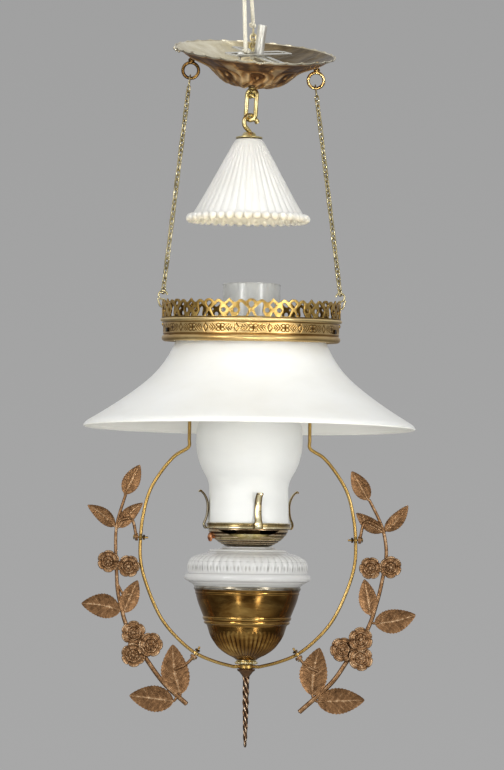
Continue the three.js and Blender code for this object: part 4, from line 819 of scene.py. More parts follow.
def side_chain(side, word):
    top = Vector(CHAIN_TOPS[word])
    foot = Vector((AXIS + side * HOOK_OUT, 0, HOOK_TOP))
    ahead = (foot - top).normalized()
    lean = aimed(ahead, (0, 0, -1))
    pitch = ((top - foot).length - JUMP_LENGTH) / LINK_COUNT

    def hung(part, distance, turn):
        return moved(part, Matrix.Translation(top + ahead * distance) @ lean @ turned(turn, "Z"))

    parts = [hung(chain_link(JUMP_LENGTH + 0.9, 8.6, LINK_WIRE, 9), JUMP_LENGTH / 2, 90)]
    for i in range(LINK_COUNT):
        turn = (45 if i % 2 else -45) + 7 * math.sin(i * 2.3 + side)
        link = chain_link(pitch + LINK_WIRE, 5.9, LINK_WIRE, 7, 9)
        parts.append(hung(link, JUMP_LENGTH + pitch * (i + 0.5), turn))
    mesh_object(f"chain_{word}_links", merged(parts), "chains", brass_chain, [f"chain_{word}"])


def s_hook(side, word):
    line = spline([*arc(0, -326, 4.3, 175, -105, 18), *arc(0, -334.4, 3.5, 180, 350, 12), (5.23, 0, -329.2)], 3)
    line[:, 0] *= side
    made = tube(line, 0.95, 12)
    mesh_object(f"s_hook_{word}_round", made, "chains", brass_chain, [f"s_hook_{word}"], at(AXIS + side * HOOK_OUT))


for side, word in SIDES:
    side_chain(side, word)
for side, word in SIDES:
    s_hook(side, word)

# Pierced gallery: one repeat is drawn flat as open strokes round its holes and bent round the ring
RING_RADIUS = 88.85
GALLERY_BASE = -348.94
GALLERY_TOP = 18.0
REPEATS = 13
REPEAT = TAU * RING_RADIUS / REPEATS
# The ring hangs a little lower in front than behind
RING_ROCK = on_axis() @ turned_about(-349, turned(3, "X"))


def smooth_loop(points, per):
    p = np.asarray(points, float)
    n = len(p)
    out = []
    for i in range(n):
        a, b, c, d = p[i - 1], p[i], p[(i + 1) % n], p[(i + 2) % n]
        for t in np.linspace(0, 1, per, endpoint=False):
            out.append(0.5 * (2 * b + (c - a) * t + (2 * a - 5 * b + 4 * c - d) * t * t
                              + (3 * b - a - 3 * c + d) * t ** 3))
    return np.array(out)


def gallery_half():
    """The top edge from the point of the diamond to the crossing, and the holes, in mm, on one side."""
    half = REPEAT / 2
    top = [
        *spline([(0, 18.4), (1.6, 16.9), (3.2, 15.4), (5.2, 14.3)], 4)[:-1].tolist(),
        *spline([(5.2, 14.3), (7.4, 15.1), (9.0, 16.6), (11.1, 17.4), (13.2, 16.8), (14.8, 15.6), (15.7, 15.0)],
                4)[:-1].tolist(),
        *spline([(15.7, 15.0), (16.8, 15.8), (18.2, 17.1), (19.8, 17.8), (half, GALLERY_TOP)], 4).tolist(),
    ]
    circle = [(6.0 + 2.3 * math.cos(a), 6.8 + 2.3 * math.sin(a)) for a in np.linspace(0, TAU, 10, endpoint=False)]
    holes = [
        smooth_loop(circle, 3),
        smooth_loop([(11.1, 14.4), (12.8, 13.4), (14.6, 11.6), (17, 9.6), (18.6, 7.9), (18.2, 6), (17.5, 4.1),
                     (16.6, 2.4), (15.5, 1.1), (11, 0.9), (7.8, 1.0), (8.6, 2.2), (9.5, 4.1), (10.5, 6),
                     (10.4, 8), (10, 10), (9.6, 11.8), (9.9, 13.4)], 4),
    ]
    middle = [
        smooth_loop([(0, 8.7), (1.6, 10.4), (3.1, 11.8), (1.6, 13.3), (0, 14.9), (-1.6, 13.3), (-3.1, 11.8),
                     (-1.6, 10.4)], 4),
        smooth_loop([(-2.3, 0.9), (0, 0.8), (2.3, 0.9), (1.4, 2.9), (0, 4.8), (-1.4, 2.9)], 4),
    ]
    crossing = [
        smooth_loop([(half, 9.3), (half + 2.0, 11.4), (half + 2.65, 13.8), (half, 15.7), (half - 2.65, 13.8),
                     (half - 2.0, 11.4)], 5),
        smooth_loop([(half - 3.2, 0.9), (half, 0.8), (half + 3.2, 0.9), (half + 1.7, 3.4), (half, 5.7),
                     (half - 1.7, 3.4)], 4),
    ]
    return top, holes, middle, crossing


def gallery_flat():
    """Top edge and holes of the whole strip from u = 0 to the ring's length."""
    top, holes, middle, crossing = gallery_half()
    edge, cuts = [], []
    for repeat in range(REPEATS):
        start = repeat * REPEAT
        edge += [(start + u, v) for u, v in top[:-1]]
        edge += [(start + REPEAT - u, v) for u, v in top[::-1][:-1]]
        for hole in holes:
            cuts.append([(start + u, v) for u, v in hole])
            cuts.append([(start + REPEAT - u, v) for u, v in hole][::-1])
        for hole in crossing + (middle if repeat else []):
            cuts.append([(start + u, v) for u, v in hole])
    return edge, cuts


def strip_mesh(loops):
    """A bevelled sheet from its outline and its holes."""
    curve = bpy.data.curves.new("gallery_flat", "CURVE")
    curve.dimensions = "2D"
    curve.fill_mode = "BOTH"
    curve.extrude = 0.55
    curve.bevel_depth = 0.22
    curve.bevel_resolution = 1
    curve.offset = -0.2
    for loop in loops:
        line = curve.splines.new("POLY")
        line.points.add(len(loop) - 1)
        for point, (u, v) in zip(line.points, loop):
            point.co = (u, v, 0, 1)
        line.use_cyclic_u = True
    flat = add_object("gallery_flat", curve)
    depsgraph = bpy.context.evaluated_depsgraph_get()
    mesh = bpy.data.meshes.new_from_object(flat.evaluated_get(depsgraph))
    bpy.data.objects.remove(flat)
    return mesh


def gallery():
    edge, cuts = gallery_flat()
    length = REPEAT * REPEATS
    gap = 0.02  # keeps the strip's two ends apart
    foot = [(u, 0) for u in np.linspace(length - gap, gap, 700)]
    outline = [(max(gap, min(u, length - gap)), v) for u, v in edge] + [(length - gap, GALLERY_TOP)] + foot
    mesh = strip_mesh([outline, *cuts])
    work = bmesh.new()
    work.from_mesh(mesh)
    bmesh.ops.remove_doubles(work, verts=work.verts, dist=0.0005)
    bmesh.ops.triangulate(work, faces=work.faces)
    for _ in range(2):
        long_edges = [e for e in work.edges if abs(e.verts[0].co.x - e.verts[1].co.x) > 2.2]
        bmesh.ops.subdivide_edges(work, edges=long_edges, cuts=1)
        bmesh.ops.triangulate(work, faces=[f for f in work.faces if len(f.verts) > 3])
    verts = np.array([v.co for v in work.verts])
    faces = [[v.index for v in f.verts] for f in work.faces]
    work.free()
    bpy.data.meshes.remove(mesh)
    angles = -math.pi / 2 + (verts[:, 0] + length / 2) / RING_RADIUS
    radii = RING_RADIUS + verts[:, 2]
    bent = np.stack([radii * np.cos(angles), radii * np.sin(angles), GALLERY_BASE + verts[:, 1]], 1)
    part = (bent, faces, np.clip(0.5 + verts[:, 2] * 0.5, 0, 1))
    mesh_object("ring_gallery_pierced", part, "shade_ring", brass_pierced, ["ring_gallery"], RING_ROCK, 40)


gallery()


# Band of the ring with a thin bead above, an engraved frieze and a plain roll below
def frieze(u, v):
    """Depth, 0 to 1, of the engraving at u (-16 to 16 mm from a diamond) and v (-4.8 to 4.8 mm)."""
    a = abs(u)
    diamond = a / 2.6 + abs(v) / 3.6
    deep = max(0.0, 1 - abs(diamond - 1) / 0.28)
    leaf_x = a - 8.0
    body = (leaf_x / 4.6) ** 2 + (v / 3.7) ** 2
    if body < 1:
        veins = max(0.0, math.cos(2.3 * (leaf_x + abs(v) * 1.1)))
        deep = max(deep, veins ** 1.5 * min(1.0, 3 * (1 - body)))
    b = 16 - a
    wing = ((b - 2.2) / 2.2) ** 2 + ((abs(v) - 1.9) / 1.7) ** 2
    return max(deep, 1 - abs(wing - 0.8) / 0.45, 1 - (b / 0.9) ** 2 - (v / 3.6) ** 2)


def ring_band():
    bead = [(86.4, -365.0), (86.4, -353.6), (87.6, -352.7), (87.2, -351.8), (87.2, -350.6), (87.9, -349.4),
            (88.85, -349.1), (90.2, -349.4), (91.0, -350.4), (90.9, -351.6), (89.8, -352.6), (88.5, -353.0)]
    rows = [(88.2, -353.2 - 11.8 * i / 24) for i in range(25)]
    roll = [(r, z) for r, _, z in arc(86.1, -368.9, 3.4, 62, -180, 16)]
    profile = bead + rows + [(87.4, -365.4)] + roll + [(82.7, -366.6), (84.4, -365.4)]
    first, last = len(bead), len(bead) + len(rows)
    radius, motifs, middle = 87.6, 17, -359.1
    pitch = TAU * radius / motifs

    def change(angle, k, r, z):
        if not first <= k < last:
            return r, z, 0.72 if k < first else 0.6
        u = ((angle + math.pi / 2) * radius + 14.2 + pitch / 2) % pitch - pitch / 2
        v = z - middle
        depth = frieze(u * 32 / pitch, v * 0.94) * clamp((5.2 - abs(v)) / 0.6)
        margin = 0.3 if abs(v) > 5.3 else 0
        return r - 0.45 * depth, z, 0.62 - 0.5 * depth - margin

    band = revolve(profile, 1020, change)
    mesh_object("ring_band_pressed", band, "shade_ring", brass_band, ["ring_band"], RING_ROCK, 50)


ring_band()
for index in range(1, 5):
    bevelled(f"shade_catch_{index}", brass_dark, 0.3)


# Shade: a deep opal dome with a ground lip
def shade():
    collar = [(73, -357.59), (77.1, -357.7), (77.4, -359), (77, -360.5), (73.6, -361), (73, -361.4)]
    height, low, neck, wide = 98.3, -360.59, 73, 93
    shares = [(0.03, 0.0), (0.095, 0.016), (0.237, 0.086), (0.359, 0.167), (0.481, 0.28), (0.603, 0.43),
              (0.725, 0.605), (0.847, 0.8), (0.908, 0.905), (0.95, 0.972), (0.975, 0.995)]
    outer = spline([(neck + wide * b, low - height * a) for a, b in shares], 8)
    rim = [(165.7, low - 97.0), (165.5, low - 97.9), (164.6, low - 98.3), (163.4, low - 98.0)]
    inner = [p for p in joined(beside(outer, -3.0)[::-1]) if p[1] > low - 97]
    profile = joined(collar, outer, rim, inner, [(69.8, -361), (69.8, -358.2), (70.6, -357.6)])

    def waver(angle, k, r, z):
        return r + 0.35 * math.sin(angle * 3 + z * 0.03) * min(1.0, (r - 70) / 60), z, PLAIN

    dome = revolve(profile, 240, waver)
    made = mesh_object("shade_dome", dome, "shade_ring", shade_white, ["shade"], on_axis(), 45)
    # Downward inner faces get the brighter copy, as painted light
    repaint(made, shade_painted_light_faces, lambda face: face.normal.z < -0.1)


shade()

# Harp: one wire frame under the ring, with a flat eye at the bottom
HARP_Z, HARP_HALF_WIDTH, HARP_HALF_HEIGHT = -576.89, 108, 119
HARP_CURVE = [(0.56, 0.835), (0.688, 0.756), (0.824, 0.605), (0.917, 0.454), (0.975, 0.24), (0.993, 0.07),
              (0.99, -0.12), (0.94, -0.303), (0.79, -0.605), (0.625, -0.78), (0.466, -0.893), (0.29, -0.96),
              (0.12, -1)]
HARP_BOLTS = ((5, "upper"), (10, "lower"))


def on_harp(share, y, side):
    return (side * share[0] * HARP_HALF_WIDTH, y, HARP_Z + share[1] * HARP_HALF_HEIGHT)


def harp_bolt(index, side):
    """The place of a bolt, the way that it points, and the matrix that stands a part there."""
    before, place, after = (Vector(on_harp(HARP_CURVE[index + step], 0, side)) for step in (-1, 0, 1))
    way = (after - before).normalized()
    out = Vector((way.z, 0, -way.x))
    if out.x * side <= 0:
        out = -out
    return place, out, Matrix.Translation(place) @ aimed(out)


def harp():
    parts = []
    bend = [(66.1 - 6 * math.cos(a), 0, -361.29 + 6 * math.sin(a)) for a in np.radians((90, 60, 30, 0))]
    for side, _ in SIDES:
        line = np.array([(89, 0, -355.29), (78, 0, -355.29), *bend, (60.1, 0, -380), (60.1, 0, -440),
                         (60.2, 0, -470), *(on_harp(share, 0, 1) for share in HARP_CURVE)])
        line[:, 0] *= side
        parts.append(tube(spline(line, 7), 1.7, 16))
    parts.append(revolve([(2.9, -697.79), (7.2, -697.79), (7.7, -697.2), (7.7, -694.6), (7.2, -693.99),
                          (2.9, -693.99)], 40))
    for side, _ in SIDES:
        t = np.linspace(0, 1, 6)[:, None]
        start, end = np.array((side * 13, 0, -695.89)), np.array((side * 6.4, 0, -695.89))
        parts.append(tube(start + (end - start) * t, 1.8, 14))
        for index, _ in HARP_BOLTS:
            eyelet = revolve([(1.35, -1.3), (3.2, -1.3), (3.5, -1.0), (3.5, 1.0), (3.2, 1.3), (1.35, 1.3)], 28)
            parts.append(moved(eyelet, harp_bolt(index, side)[2]))
    mesh_object("harp_wire", merged(parts), "harp", brass_wire, ["harp"], on_axis())


harp()

# Bolts and nuts of the sprays
for _, word in SIDES:
    for _, height in HARP_BOLTS:
        bevelled(f"nut_{word}_{height}", brass_old, 0.2)


def spray_bolt(index, height, side, word):
    profile = [(0, -7.6), (0.9, -7.6), (1.1, -7.3), (1.1, 5.9), (2.5, 5.9), (2.7, 6.1),
               *round_head(2.7, 1.25, 6, 6.3, 7.5)]
    name = f"bolt_{word}_{height}"
    place = on_axis() @ harp_bolt(index, side)[2]
    mesh_object(name + "_round", revolve(profile, 24), "harp", brass_old, [name], place)


for side, word in SIDES:
    for index, height in HARP_BOLTS:
        spray_bolt(index, height, side, word)

# Sprays of serrated leaves and roses on a bent stem
LEAF_ROWS, LEAF_COLUMNS = 72, 25
LEAF_TEETH = 13
LEAF_THICK = 1.3
LEAF_LIFT = -1.2


def leaf(base, tip, width, seed):
    """A serrated, veined and slightly cupped leaf between two places, in the XZ plane."""
    base, tip = np.array(base, float), np.array(tip, float)
    way = tip - base
    length = np.linalg.norm(way)
    way = way / length
    side = np.array([way[2], 0, -way[0]])
    rows, columns = LEAF_ROWS, LEAF_COLUMNS
    front, relief = [], []
    wander = 0.05 * math.sin(seed * 2.1)
    for i in range(rows + 1):
        s = i / rows
        swell = math.sin(math.pi * min(s ** 0.74, 1.0)) ** 0.72 if 0 < s < 1 else 0
        tooth = (s * LEAF_TEETH) % 1
        edge = 0.93 + 0.09 * (tooth if tooth < 0.75 else (1 - tooth) * 3)
        half = width / 2 * swell * edge + 0.7 * (1 - s)
        centre = wander * length * math.sin(math.pi * s)
        for k in range(columns):
            c = k / (columns - 1) * 2 - 1
            along = s * length + abs(c) * 0.10 * width * (1 - s) * swell
            spot = base + way * along + side * (c * half + centre)
            branch = abs(math.sin(math.pi * (s * 7.5 - abs(c) * 1.5)))
            vein = max(0.0, 1 - branch / 0.3) * (1 - 0.4 * abs(c))
            net = max(0.0, 1 - abs(math.sin(math.pi * (s * 21 + abs(c) * 5))) / 0.5)
            spine = math.exp(-((c / 0.07) ** 2))
            cup = 1.9 * c * c * swell - 1.1 * math.sin(math.pi * s) + 1.8 * s * s * math.sin(seed)
            raised = 0.28 * vein + 0.08 * net + 0.5 * spine
            front.append(spot + np.array([0, LEAF_LIFT - cup - raised * swell, 0]))
            relief.append(0.34 + 0.26 * vein + 0.1 * net + 0.3 * spine)
    back = [p + np.array([0, LEAF_THICK, 0]) for p in front]
    count = len(front)
    faces = []
    for i in range(rows):
        for k in range(columns - 1):
            a = i * columns + k
            faces.append((a, a + 1, a + columns + 1, a + columns))
            faces.append((a + count, a + columns + count, a + columns + 1 + count, a + 1 + count))
        for k, order in ((0, 1), (columns - 1, -1)):
            a = i * columns + k
            faces.append((a, a + columns, a + columns + count, a + count)[::order])
    for i, order in ((0, 1), (rows, -1)):
        for k in range(columns - 1):
            a = i * columns + k
            faces.append((a, a + count, a + 1 + count, a + 1)[::order])
    return front + back, faces, relief + [0.3] * count


PETALS = 6
ROSE_RINGS, ROSE_AROUND = 26, 120
ROSE_THICK = 1.4
ROSE_BEADS = 9


def near(value, middle, width):
    """A smooth hump round a middle."""
    return math.exp(-(((value - middle) / width) ** 2))


def flower(place, radius, turn, tilt):
    """A round rose: outer petals, curled inner ones and a heart of small beads, facing the front."""
    around = ROSE_AROUND
    front, relief = [(0, 0, 0)], [0.3]
    for j in range(1, ROSE_RINGS + 1):
        s = j / ROSE_RINGS
        for k in range(around):
            a = TAU * k / around
            phase = (a * PETALS / TAU) % 1
            petal = abs(math.sin(math.pi * phase)) ** 0.4
            notch = 1 - 0.05 * near(phase, 0.5, 0.08)
            r = radius * (0.86 + 0.14 * petal * notch) * s
            gap = 1 - petal
            fold = 1 - abs(math.sin(math.pi * ((a * PETALS / TAU + 0.5) % 1))) ** 0.4
            inner = near(s, 0.56, 0.07) * (1 - 0.6 * fold)
            lip = near(s, 0.93, 0.07)
            crease = math.cos(TAU * 4 * phase) * 0.5 + 0.5
            hollow = near(s, 0.42, 0.08)
            rise = -1.0 - 1.2 * inner - 0.9 * lip + 0.9 * gap * s + 0.4 * hollow - 0.2 * crease * s
            front.append((r * math.cos(a), rise, r * math.sin(a)))
            relief.append(clamp(0.44 + 0.16 * inner + 0.2 * lip - 0.3 * gap * s - 0.08 * hollow + 0.08 * crease))
    faces = [(0, 1 + k, 1 + (k + 1) % around) for k in range(around)]
    faces += [(a, d, c, b) for a, b, c, d in grid(ROSE_RINGS, around, 1)]
    count = len(front)
    faces += [tuple(i + count for i in face[::-1]) for face in faces]
    rim = 1 + (ROSE_RINGS - 1) * around
    for k in range(around):
        a, b = rim + k, rim + (k + 1) % around
        faces.append((a, a + count, b + count, b))
    verts = front + [(x, y + ROSE_THICK, z) for x, y, z in front]
    parts = [(verts, faces, relief + [0.3] * count)]
    parts.append(moved(ball(radius * 0.2, 14, 7, 0.8, 0.6), at(0, -1.6, 0)))
    for k in range(ROSE_BEADS):
        a = TAU * k / ROSE_BEADS
        spot = at(radius * 0.3 * math.cos(a), -1.5, radius * 0.3 * math.sin(a))
        parts.append(moved(ball(radius * 0.075, 8, 5, relief=0.62), spot))
    lean = Matrix.Rotation(turn, 4, "Y") @ Matrix.Rotation(tilt[0], 4, "X") @ Matrix.Rotation(tilt[1], 4, "Z")
    return moved(merged(parts), Matrix.Translation(Vector(place)) @ lean)


def tab_to_bolt(line_shares, index, side):
    """A flat tongue from the stem to the bolt, ending in an eyelet under the bolt's head."""
    place, out, stand = harp_bolt(index, side)
    eyelet = revolve([(1.45, 2.5), (3.5, 2.5), (3.7, 2.9), (3.7, 5.0), (3.5, 5.4), (1.45, 5.4)], 28)
    line = [on_harp(share, -0.2, side) for share in line_shares] + [tuple(place + out * 4)]
    return [moved(eyelet, stand), tube(spline(line, 8), 2.3, 10, flat=0.7)]


# Places are shares of the harp's half width and half height; leaves are (base, tip, width), flowers (place, radius)
SPRAYS = {
    "left": dict(
        stem=[(1.136, 0.43), (1.215, 0.169), (1.221, -0.042), (1.209, -0.226), (1.197, -0.377), (1.158, -0.528),
              (1.109, -0.67), (0.929, -0.937), (0.749, -1.153), (0.543, -1.318)],
        leaves=[((1.145, 0.43), (1.01, 0.676), 17), ((1.234, 0.16), (1.486, 0.333), 14),
                ((1.196, 0.152), (0.977, 0.357), 14), ((1.139, -0.562), (1.013, -0.291), 18),
                ((1.167, -0.545), (1.529, -0.491), 24), ((0.6, -1.235), (0.681, -0.824), 28),
                ((0.664, -1.295), (1.072, -1.254), 26)],
        flowers=[((1.284, -0.135), 10), ((1.098, -0.174), 10), ((1.043, -0.733), 11), ((0.884, -0.827), 11),
                 ((1.04, -0.913), 11)],
        twigs=[((1.197, -0.33), (1.13, -0.42), (1.07, -0.40))],
        tab=(1.2, 0.2)),
    "right": dict(
        stem=[(1.115, 0.41), (1.2, 0.26), (1.248, 0.151), (1.279, -0.034), (1.245, -0.26), (1.2, -0.44),
              (1.114, -0.674), (0.914, -0.963), (0.797, -1.116), (0.495, -1.372)],
        leaves=[((1.105, 0.41), (0.949, 0.647), 17), ((1.267, 0.151), (1.476, 0.368), 14),
                ((1.239, 0.142), (0.996, 0.299), 14), ((1.139, -0.552), (1.079, -0.255), 18),
                ((1.178, -0.623), (1.556, -0.547), 24), ((0.613, -1.232), (0.672, -0.832), 28),
                ((0.66, -1.282), (1.095, -1.263), 26)],
        flowers=[((1.318, -0.151), 10), ((1.133, -0.162), 10), ((1.05, -0.759), 11), ((0.88, -0.846), 11),
                 ((1.053, -0.919), 11)],
        twigs=[],
        tab=(1.235, 0.17)),
}


def nearest(stem, place):
    return stem[np.argmin(np.linalg.norm(stem - np.array(place), axis=1))]


def spray(side, word):
    plan = SPRAYS[word]
    stem = spline([on_harp(share, 0.4, side) for share in plan["stem"]], 12)
    thick = np.linspace(1.5, 2.5, len(stem))
    thick[-6:] = 2.4
    parts = [tube(stem, thick, 12)]
    for n, (base, tip, width) in enumerate(plan["leaves"]):
        start, end = np.array(on_harp(base, 0, side)), np.array(on_harp(tip, 0, side))
        parts.append(leaf(start, end, width, n + (3 if side > 0 else 0)))
        ahead = start + (end - start) * 0.18
        stalk = [nearest(stem, on_harp(base, 0.4, side)), start, ahead + np.array([0, -0.8, 0])]
        parts.append(tube(spline(stalk, 6), np.linspace(1.6, 0.9, 13), 9))
    for n, (place, radius) in enumerate(plan["flowers"]):
        spot = np.array(on_harp(place, -2.2, side))
        foot = nearest(stem, spot)
        stalk = [foot, (foot + spot) / 2 + np.array([0, 0.8, 0]), spot + np.array([0, 1.6, 0])]
        parts.append(tube(spline(stalk, 6), np.linspace(1.4, 1.1, 13), 9))
        tilt = (0.18 * math.sin(n * 2.0), 0.25 * side * math.cos(n))
        parts.append(flower(spot, radius * 1.13, 0.5 * n + side, tilt))
    for twig in plan["twigs"]:
        line = spline([on_harp(share, 0, side) for share in twig], 8)
        parts.append(tube(line, np.linspace(1.4, 1.1, len(line)), 9))
    parts += tab_to_bolt([plan["tab"], (1.085, 0.225)], HARP_BOLTS[0][0], side)
    parts += tab_to_bolt([(0.66, -1.03), (0.56, -0.99)], HARP_BOLTS[1][0], side)
    mesh_object(f"spray_{word}_leaves", merged(parts), "harp", bronze, [f"spray_{word}"], on_axis(), 50)


for side, word in SIDES:
    spray(side, word)

# Bowl under the font, with bead rings and flutes below them; each ring is (height, half width, how far out)
BOWL_RINGS = ((-648.2, 1.9, 1.2), (-652.4, 1.7, 1.0), (-618.4, 1.5, 0.3), (-623, 1.2, 0.5))
FLUTES_TOP, FLUTE_COUNT = -660, 46
PEWTER_BOTTOM = -619.4


def bowl():
    outer = spline([(53, -616.6), (53.1, -618.2), (52.3, -620.4), (51.6, -622.4), (50.8, -626.6), (49.4, -631.5),
                    (47.4, -637), (45.4, -642), (43.9, -645.6), (42.8, -648.4), (41.8, -652.4), (39.8, -655.2),
                    (38.9, -658), (37.3, -663), (35.2, -667.6), (32.4, -671.9), (28.6, -676.8), (23.8, -680.9),
                    (18.6, -684.2), (14.2, -686.4), (11.6, -687.9)], 12)
    low = [(10.6, -688.9), (2.9, -688.95), (2.9, -687.3), (10, -686.6)]
    inner = [p for p in joined(beside(outer, -1.3)[::-1]) if p[0] > 11]
    rim = [(51.8, -616.2), (52.4, -616.05), (52.9, -616.2)]
    first, last = len(rim), len(rim) + len(outer)

    def change(angle, k, r, z):
        if not first <= k < last:
            return r, z, 0.3
        if z < FLUTES_TOP:
            fade = clamp((FLUTES_TOP - z) / 9) * clamp((r - 13) / 7)
            wave = abs(math.sin(angle * FLUTE_COUNT / 2)) ** 0.7
            return r - (1 - wave) * 1.5 * fade, z, 0.6 - 0.4 * (1 - wave) * fade
        bead = max(out * max(0.0, 1 - ((z - ring) / wide) ** 2) ** 0.5 for ring, wide, out in BOWL_RINGS)
        return r + bead, z, 0.5 + 0.25 * bead

    made = revolve(joined(rim, outer, low, inner), 512, change)
    made = mesh_object("bowl_fluted", made, "harp", bowl_brass, ["bowl"], on_axis(), 45)
    repaint(made, rim_pewter, lambda face: face.center.z > PEWTER_BOTTOM * MM)


bowl()


def bowl_collar():
    outline = [(2.9, -693.6), (8.6, -693.6), (10.4, -693.0), (11.3, -692.0), (10.9, -691.0), (9.6, -690.4),
               (10.2, -689.9), (10, -689.4), (9.2, -689.3), (2.9, -689.3)]

    def beads(angle, k, r, z):
        swell = abs(math.cos(angle * 8)) ** 0.6 if k in (2, 3, 4) else 0.5
        return r + 0.8 * (swell - 0.5), z, 0.2 + 0.7 * swell

    made = revolve(outline, 128, beads)
    mesh_object("bowl_collar_turned", made, "harp", brass_gold, ["bowl_collar"], on_axis())


def finial():
    """A square rod, twisted and tapering to a point, under a turned cone."""
    cone = [(0, -698.1), (8.6, -698.1), (9.1, -698.7), (8.8, -699.7), (7.4, -700.7), (6.2, -701.7), (5.4, -703),
            (4.2, -704.4), (3.5, -705.6), (2.6, -706.2), (0, -706.2)]
    top, bottom = -705.4, -776.09
    rows, around = 180, 48

    def rod(i, k, a):
        s = i / rows
        spin = s * 2 * TAU * 1.02
        grow = 3.5 + 0.5 * math.sin(s * math.pi) - 1.9 * s
        tip = min(1.0, (1 - s) * 26) ** 0.5
        corner = abs(math.cos(2 * (a - spin))) * (0.8 + 0.2 * math.sin(s * 39 + 2 * a))
        r = grow * (0.72 + 0.34 * corner ** 1.6) * tip + 0.02
        return r * math.cos(a), r * math.sin(a), top + (bottom - top) * s, 0.1 + 0.9 * corner ** 1.6

    verts, faces, relief = wound(rows, around, rod)
    for row in (0, rows):
        middle = len(verts)
        verts.append((0, 0, verts[row * around][2]))
        relief.append(PLAIN)
        faces += [(middle, row * around + k, row * around + (k + 1) % around) for k in range(around)]
    made = merged([(verts, faces, relief), revolve(cone, 48)])
    mesh_object("finial_twisted", made, "harp", finial_metal, ["finial"], on_axis(), 50)


bowl_collar()
finial()
bevelled("centre_bolt", brass_dark)

# Font of pressed glass, seen between the bowl and the burner; its lines are (height, depth, half width)
FONT_LINES = ((-611.6, 1, 0.7), (-614, 1, 0.7), (-581.6, 1, 0.7), (-603.6, 1, 0.6), (-587, 0.6, 1.2),
              (-591.5, 0.6, 1.2))
FONT_OVALS = 100


def font():
    outer = spline([(26.6, -577.2), (28, -578.2), (30.6, -578.8), (38.6, -579.6), (40.2, -581.2), (43.2, -582.9),
                    (48.6, -584.6), (53.8, -586.9), (57.4, -590), (59.2, -593.6), (59.7, -598), (60, -602.4),
                    (62.2, -604.2), (63.5, -607.2), (62.9, -609.6), (60.2, -611.2), (57.6, -612.8),
                    (55.2, -614.4), (53.35, -616.09)], 7)
    foot = [(0, -629), (20, -628.9), (24, -629.7), (41, -629.7), (42.6, -629), (46.6, -625), (50.4, -620),
            (52.6, -616.9)]
    neck = [(26, -576.8), (25, -576.9)]
    inside = [(24.6, -577.6), (25, -580.6), (30, -582.6), (38.2, -584.6), (46.5, -588.4), (53, -591),
              (55.6, -594.6), (55.9, -601.8), (58.8, -603.8), (59, -605.6), (54, -611), (48.6, -617), (42, -624.4),
              (38, -626.2), (0, -626.4)]
    first, last = len(foot), len(foot) + len(outer)

    def pattern(angle, k, r, z):
        if not first <= k < last:
            return r, z, 0.7
        wave = abs(math.cos(angle * 25)) ** 0.8
        share = clamp((-583 - z) / 6) * clamp((z + 601) / 4)
        place = angle * FONT_OVALS / TAU
        oval = max(0.0, 1 - (abs(place % 1 - 0.5) / 0.42) ** 2 - ((z + 598.4) / 4.2) ** 2)
        oval *= 0.75 + 0.25 * math.sin(int(place) * 2.3)
        line = max(0.0, *(deep - abs(z - height) / wide for height, deep, wide in FONT_LINES))
        if z < -614.8:
            line = 0.8
        r += 1.3 * (wave - 0.5) * share - 0.9 * oval - 0.5 * line
        # Lower relief in the ovals, the lines and below the lip is drawn grey by the glass, as painted shade
        return r, z, 0.75 - 0.18 * (1 - wave) * share - 0.5 * oval - 0.45 * line

    made = revolve(joined(foot, outer[::-1], neck, inside), 600, pattern)
    mesh_object("font_pressed_glass", made, "font", font_crystal, ["font"], on_axis(), 60)
    thread = [(13.7, -582.6), (16.2, -582.6), (16.4, -582.2), (16.1, -581.2), (16.5, -580.6), (16.1, -579.7),
              (16.5, -579), (16.1, -578.2), (13.9, -578.0)]
    mesh_object("font_collar_threaded", revolve(thread, 64), "font", brass_old, ["font_collar"], on_axis())


font()


# Burner: stepped basket with an air opening, prong ring, flame dome, wick tube and wheel
def basket():
    top, low, wide = -559.09, -578.6, 39.6
    curve = spline([(wide * r, top + (low - top) * z) for z, r in
                    ((0, 1), (0.2, 0.97), (0.5, 0.84), (0.8, 0.62), (1, 0.37))], 22)
    skirt = [(13.6, -579.0), (13.3, -579.8), (13.3, -586.6), (12.2, -586.6), (12.2, -578.9)]

    def steps(angle, k, r, z):
        if k >= len(curve):
            return r, z, 0.35
        step = 0.5 + 0.5 * math.cos((r + 0.6 * z) * 1.5)
        return r + 0.5 * step, z - 0.3 * step, 0.05 + 0.9 * step

    verts, faces, relief = revolve(joined(curve, skirt, beside(curve, -1.1)[::-1]), 320, steps)
    verts = np.array(verts)

    def in_opening(face):
        """Whether a face lies in the opening in front, an arch 100 degrees wide."""
        x, y, z = verts[list(face)].mean(axis=0)
        across = abs(math.degrees(math.atan2(y, x)) + 88) / 50
        return across < 1 and -560.4 - 8.6 * math.cos(math.pi / 2 * across) < z < -560.2 and math.hypot(x, y) > 20

    part = (verts, [face for face in faces if not in_opening(face)], relief)
    mesh_object("burner_basket_stepped", part, "font", burner_brass, ["burner_basket"], on_axis(), 50)
    dish = [(36.6, -564.4), (36.0, -566.4), (33.4, -569.2), (29, -571.6), (20, -573), (20, -572), (28.6, -570.6),
            (32.6, -568.4), (35.0, -566), (35.6, -564.4)]
    mesh_object("burner_air_dish", revolve(dish, 96), "font", brass_gold, (), on_axis(), 50)


basket()


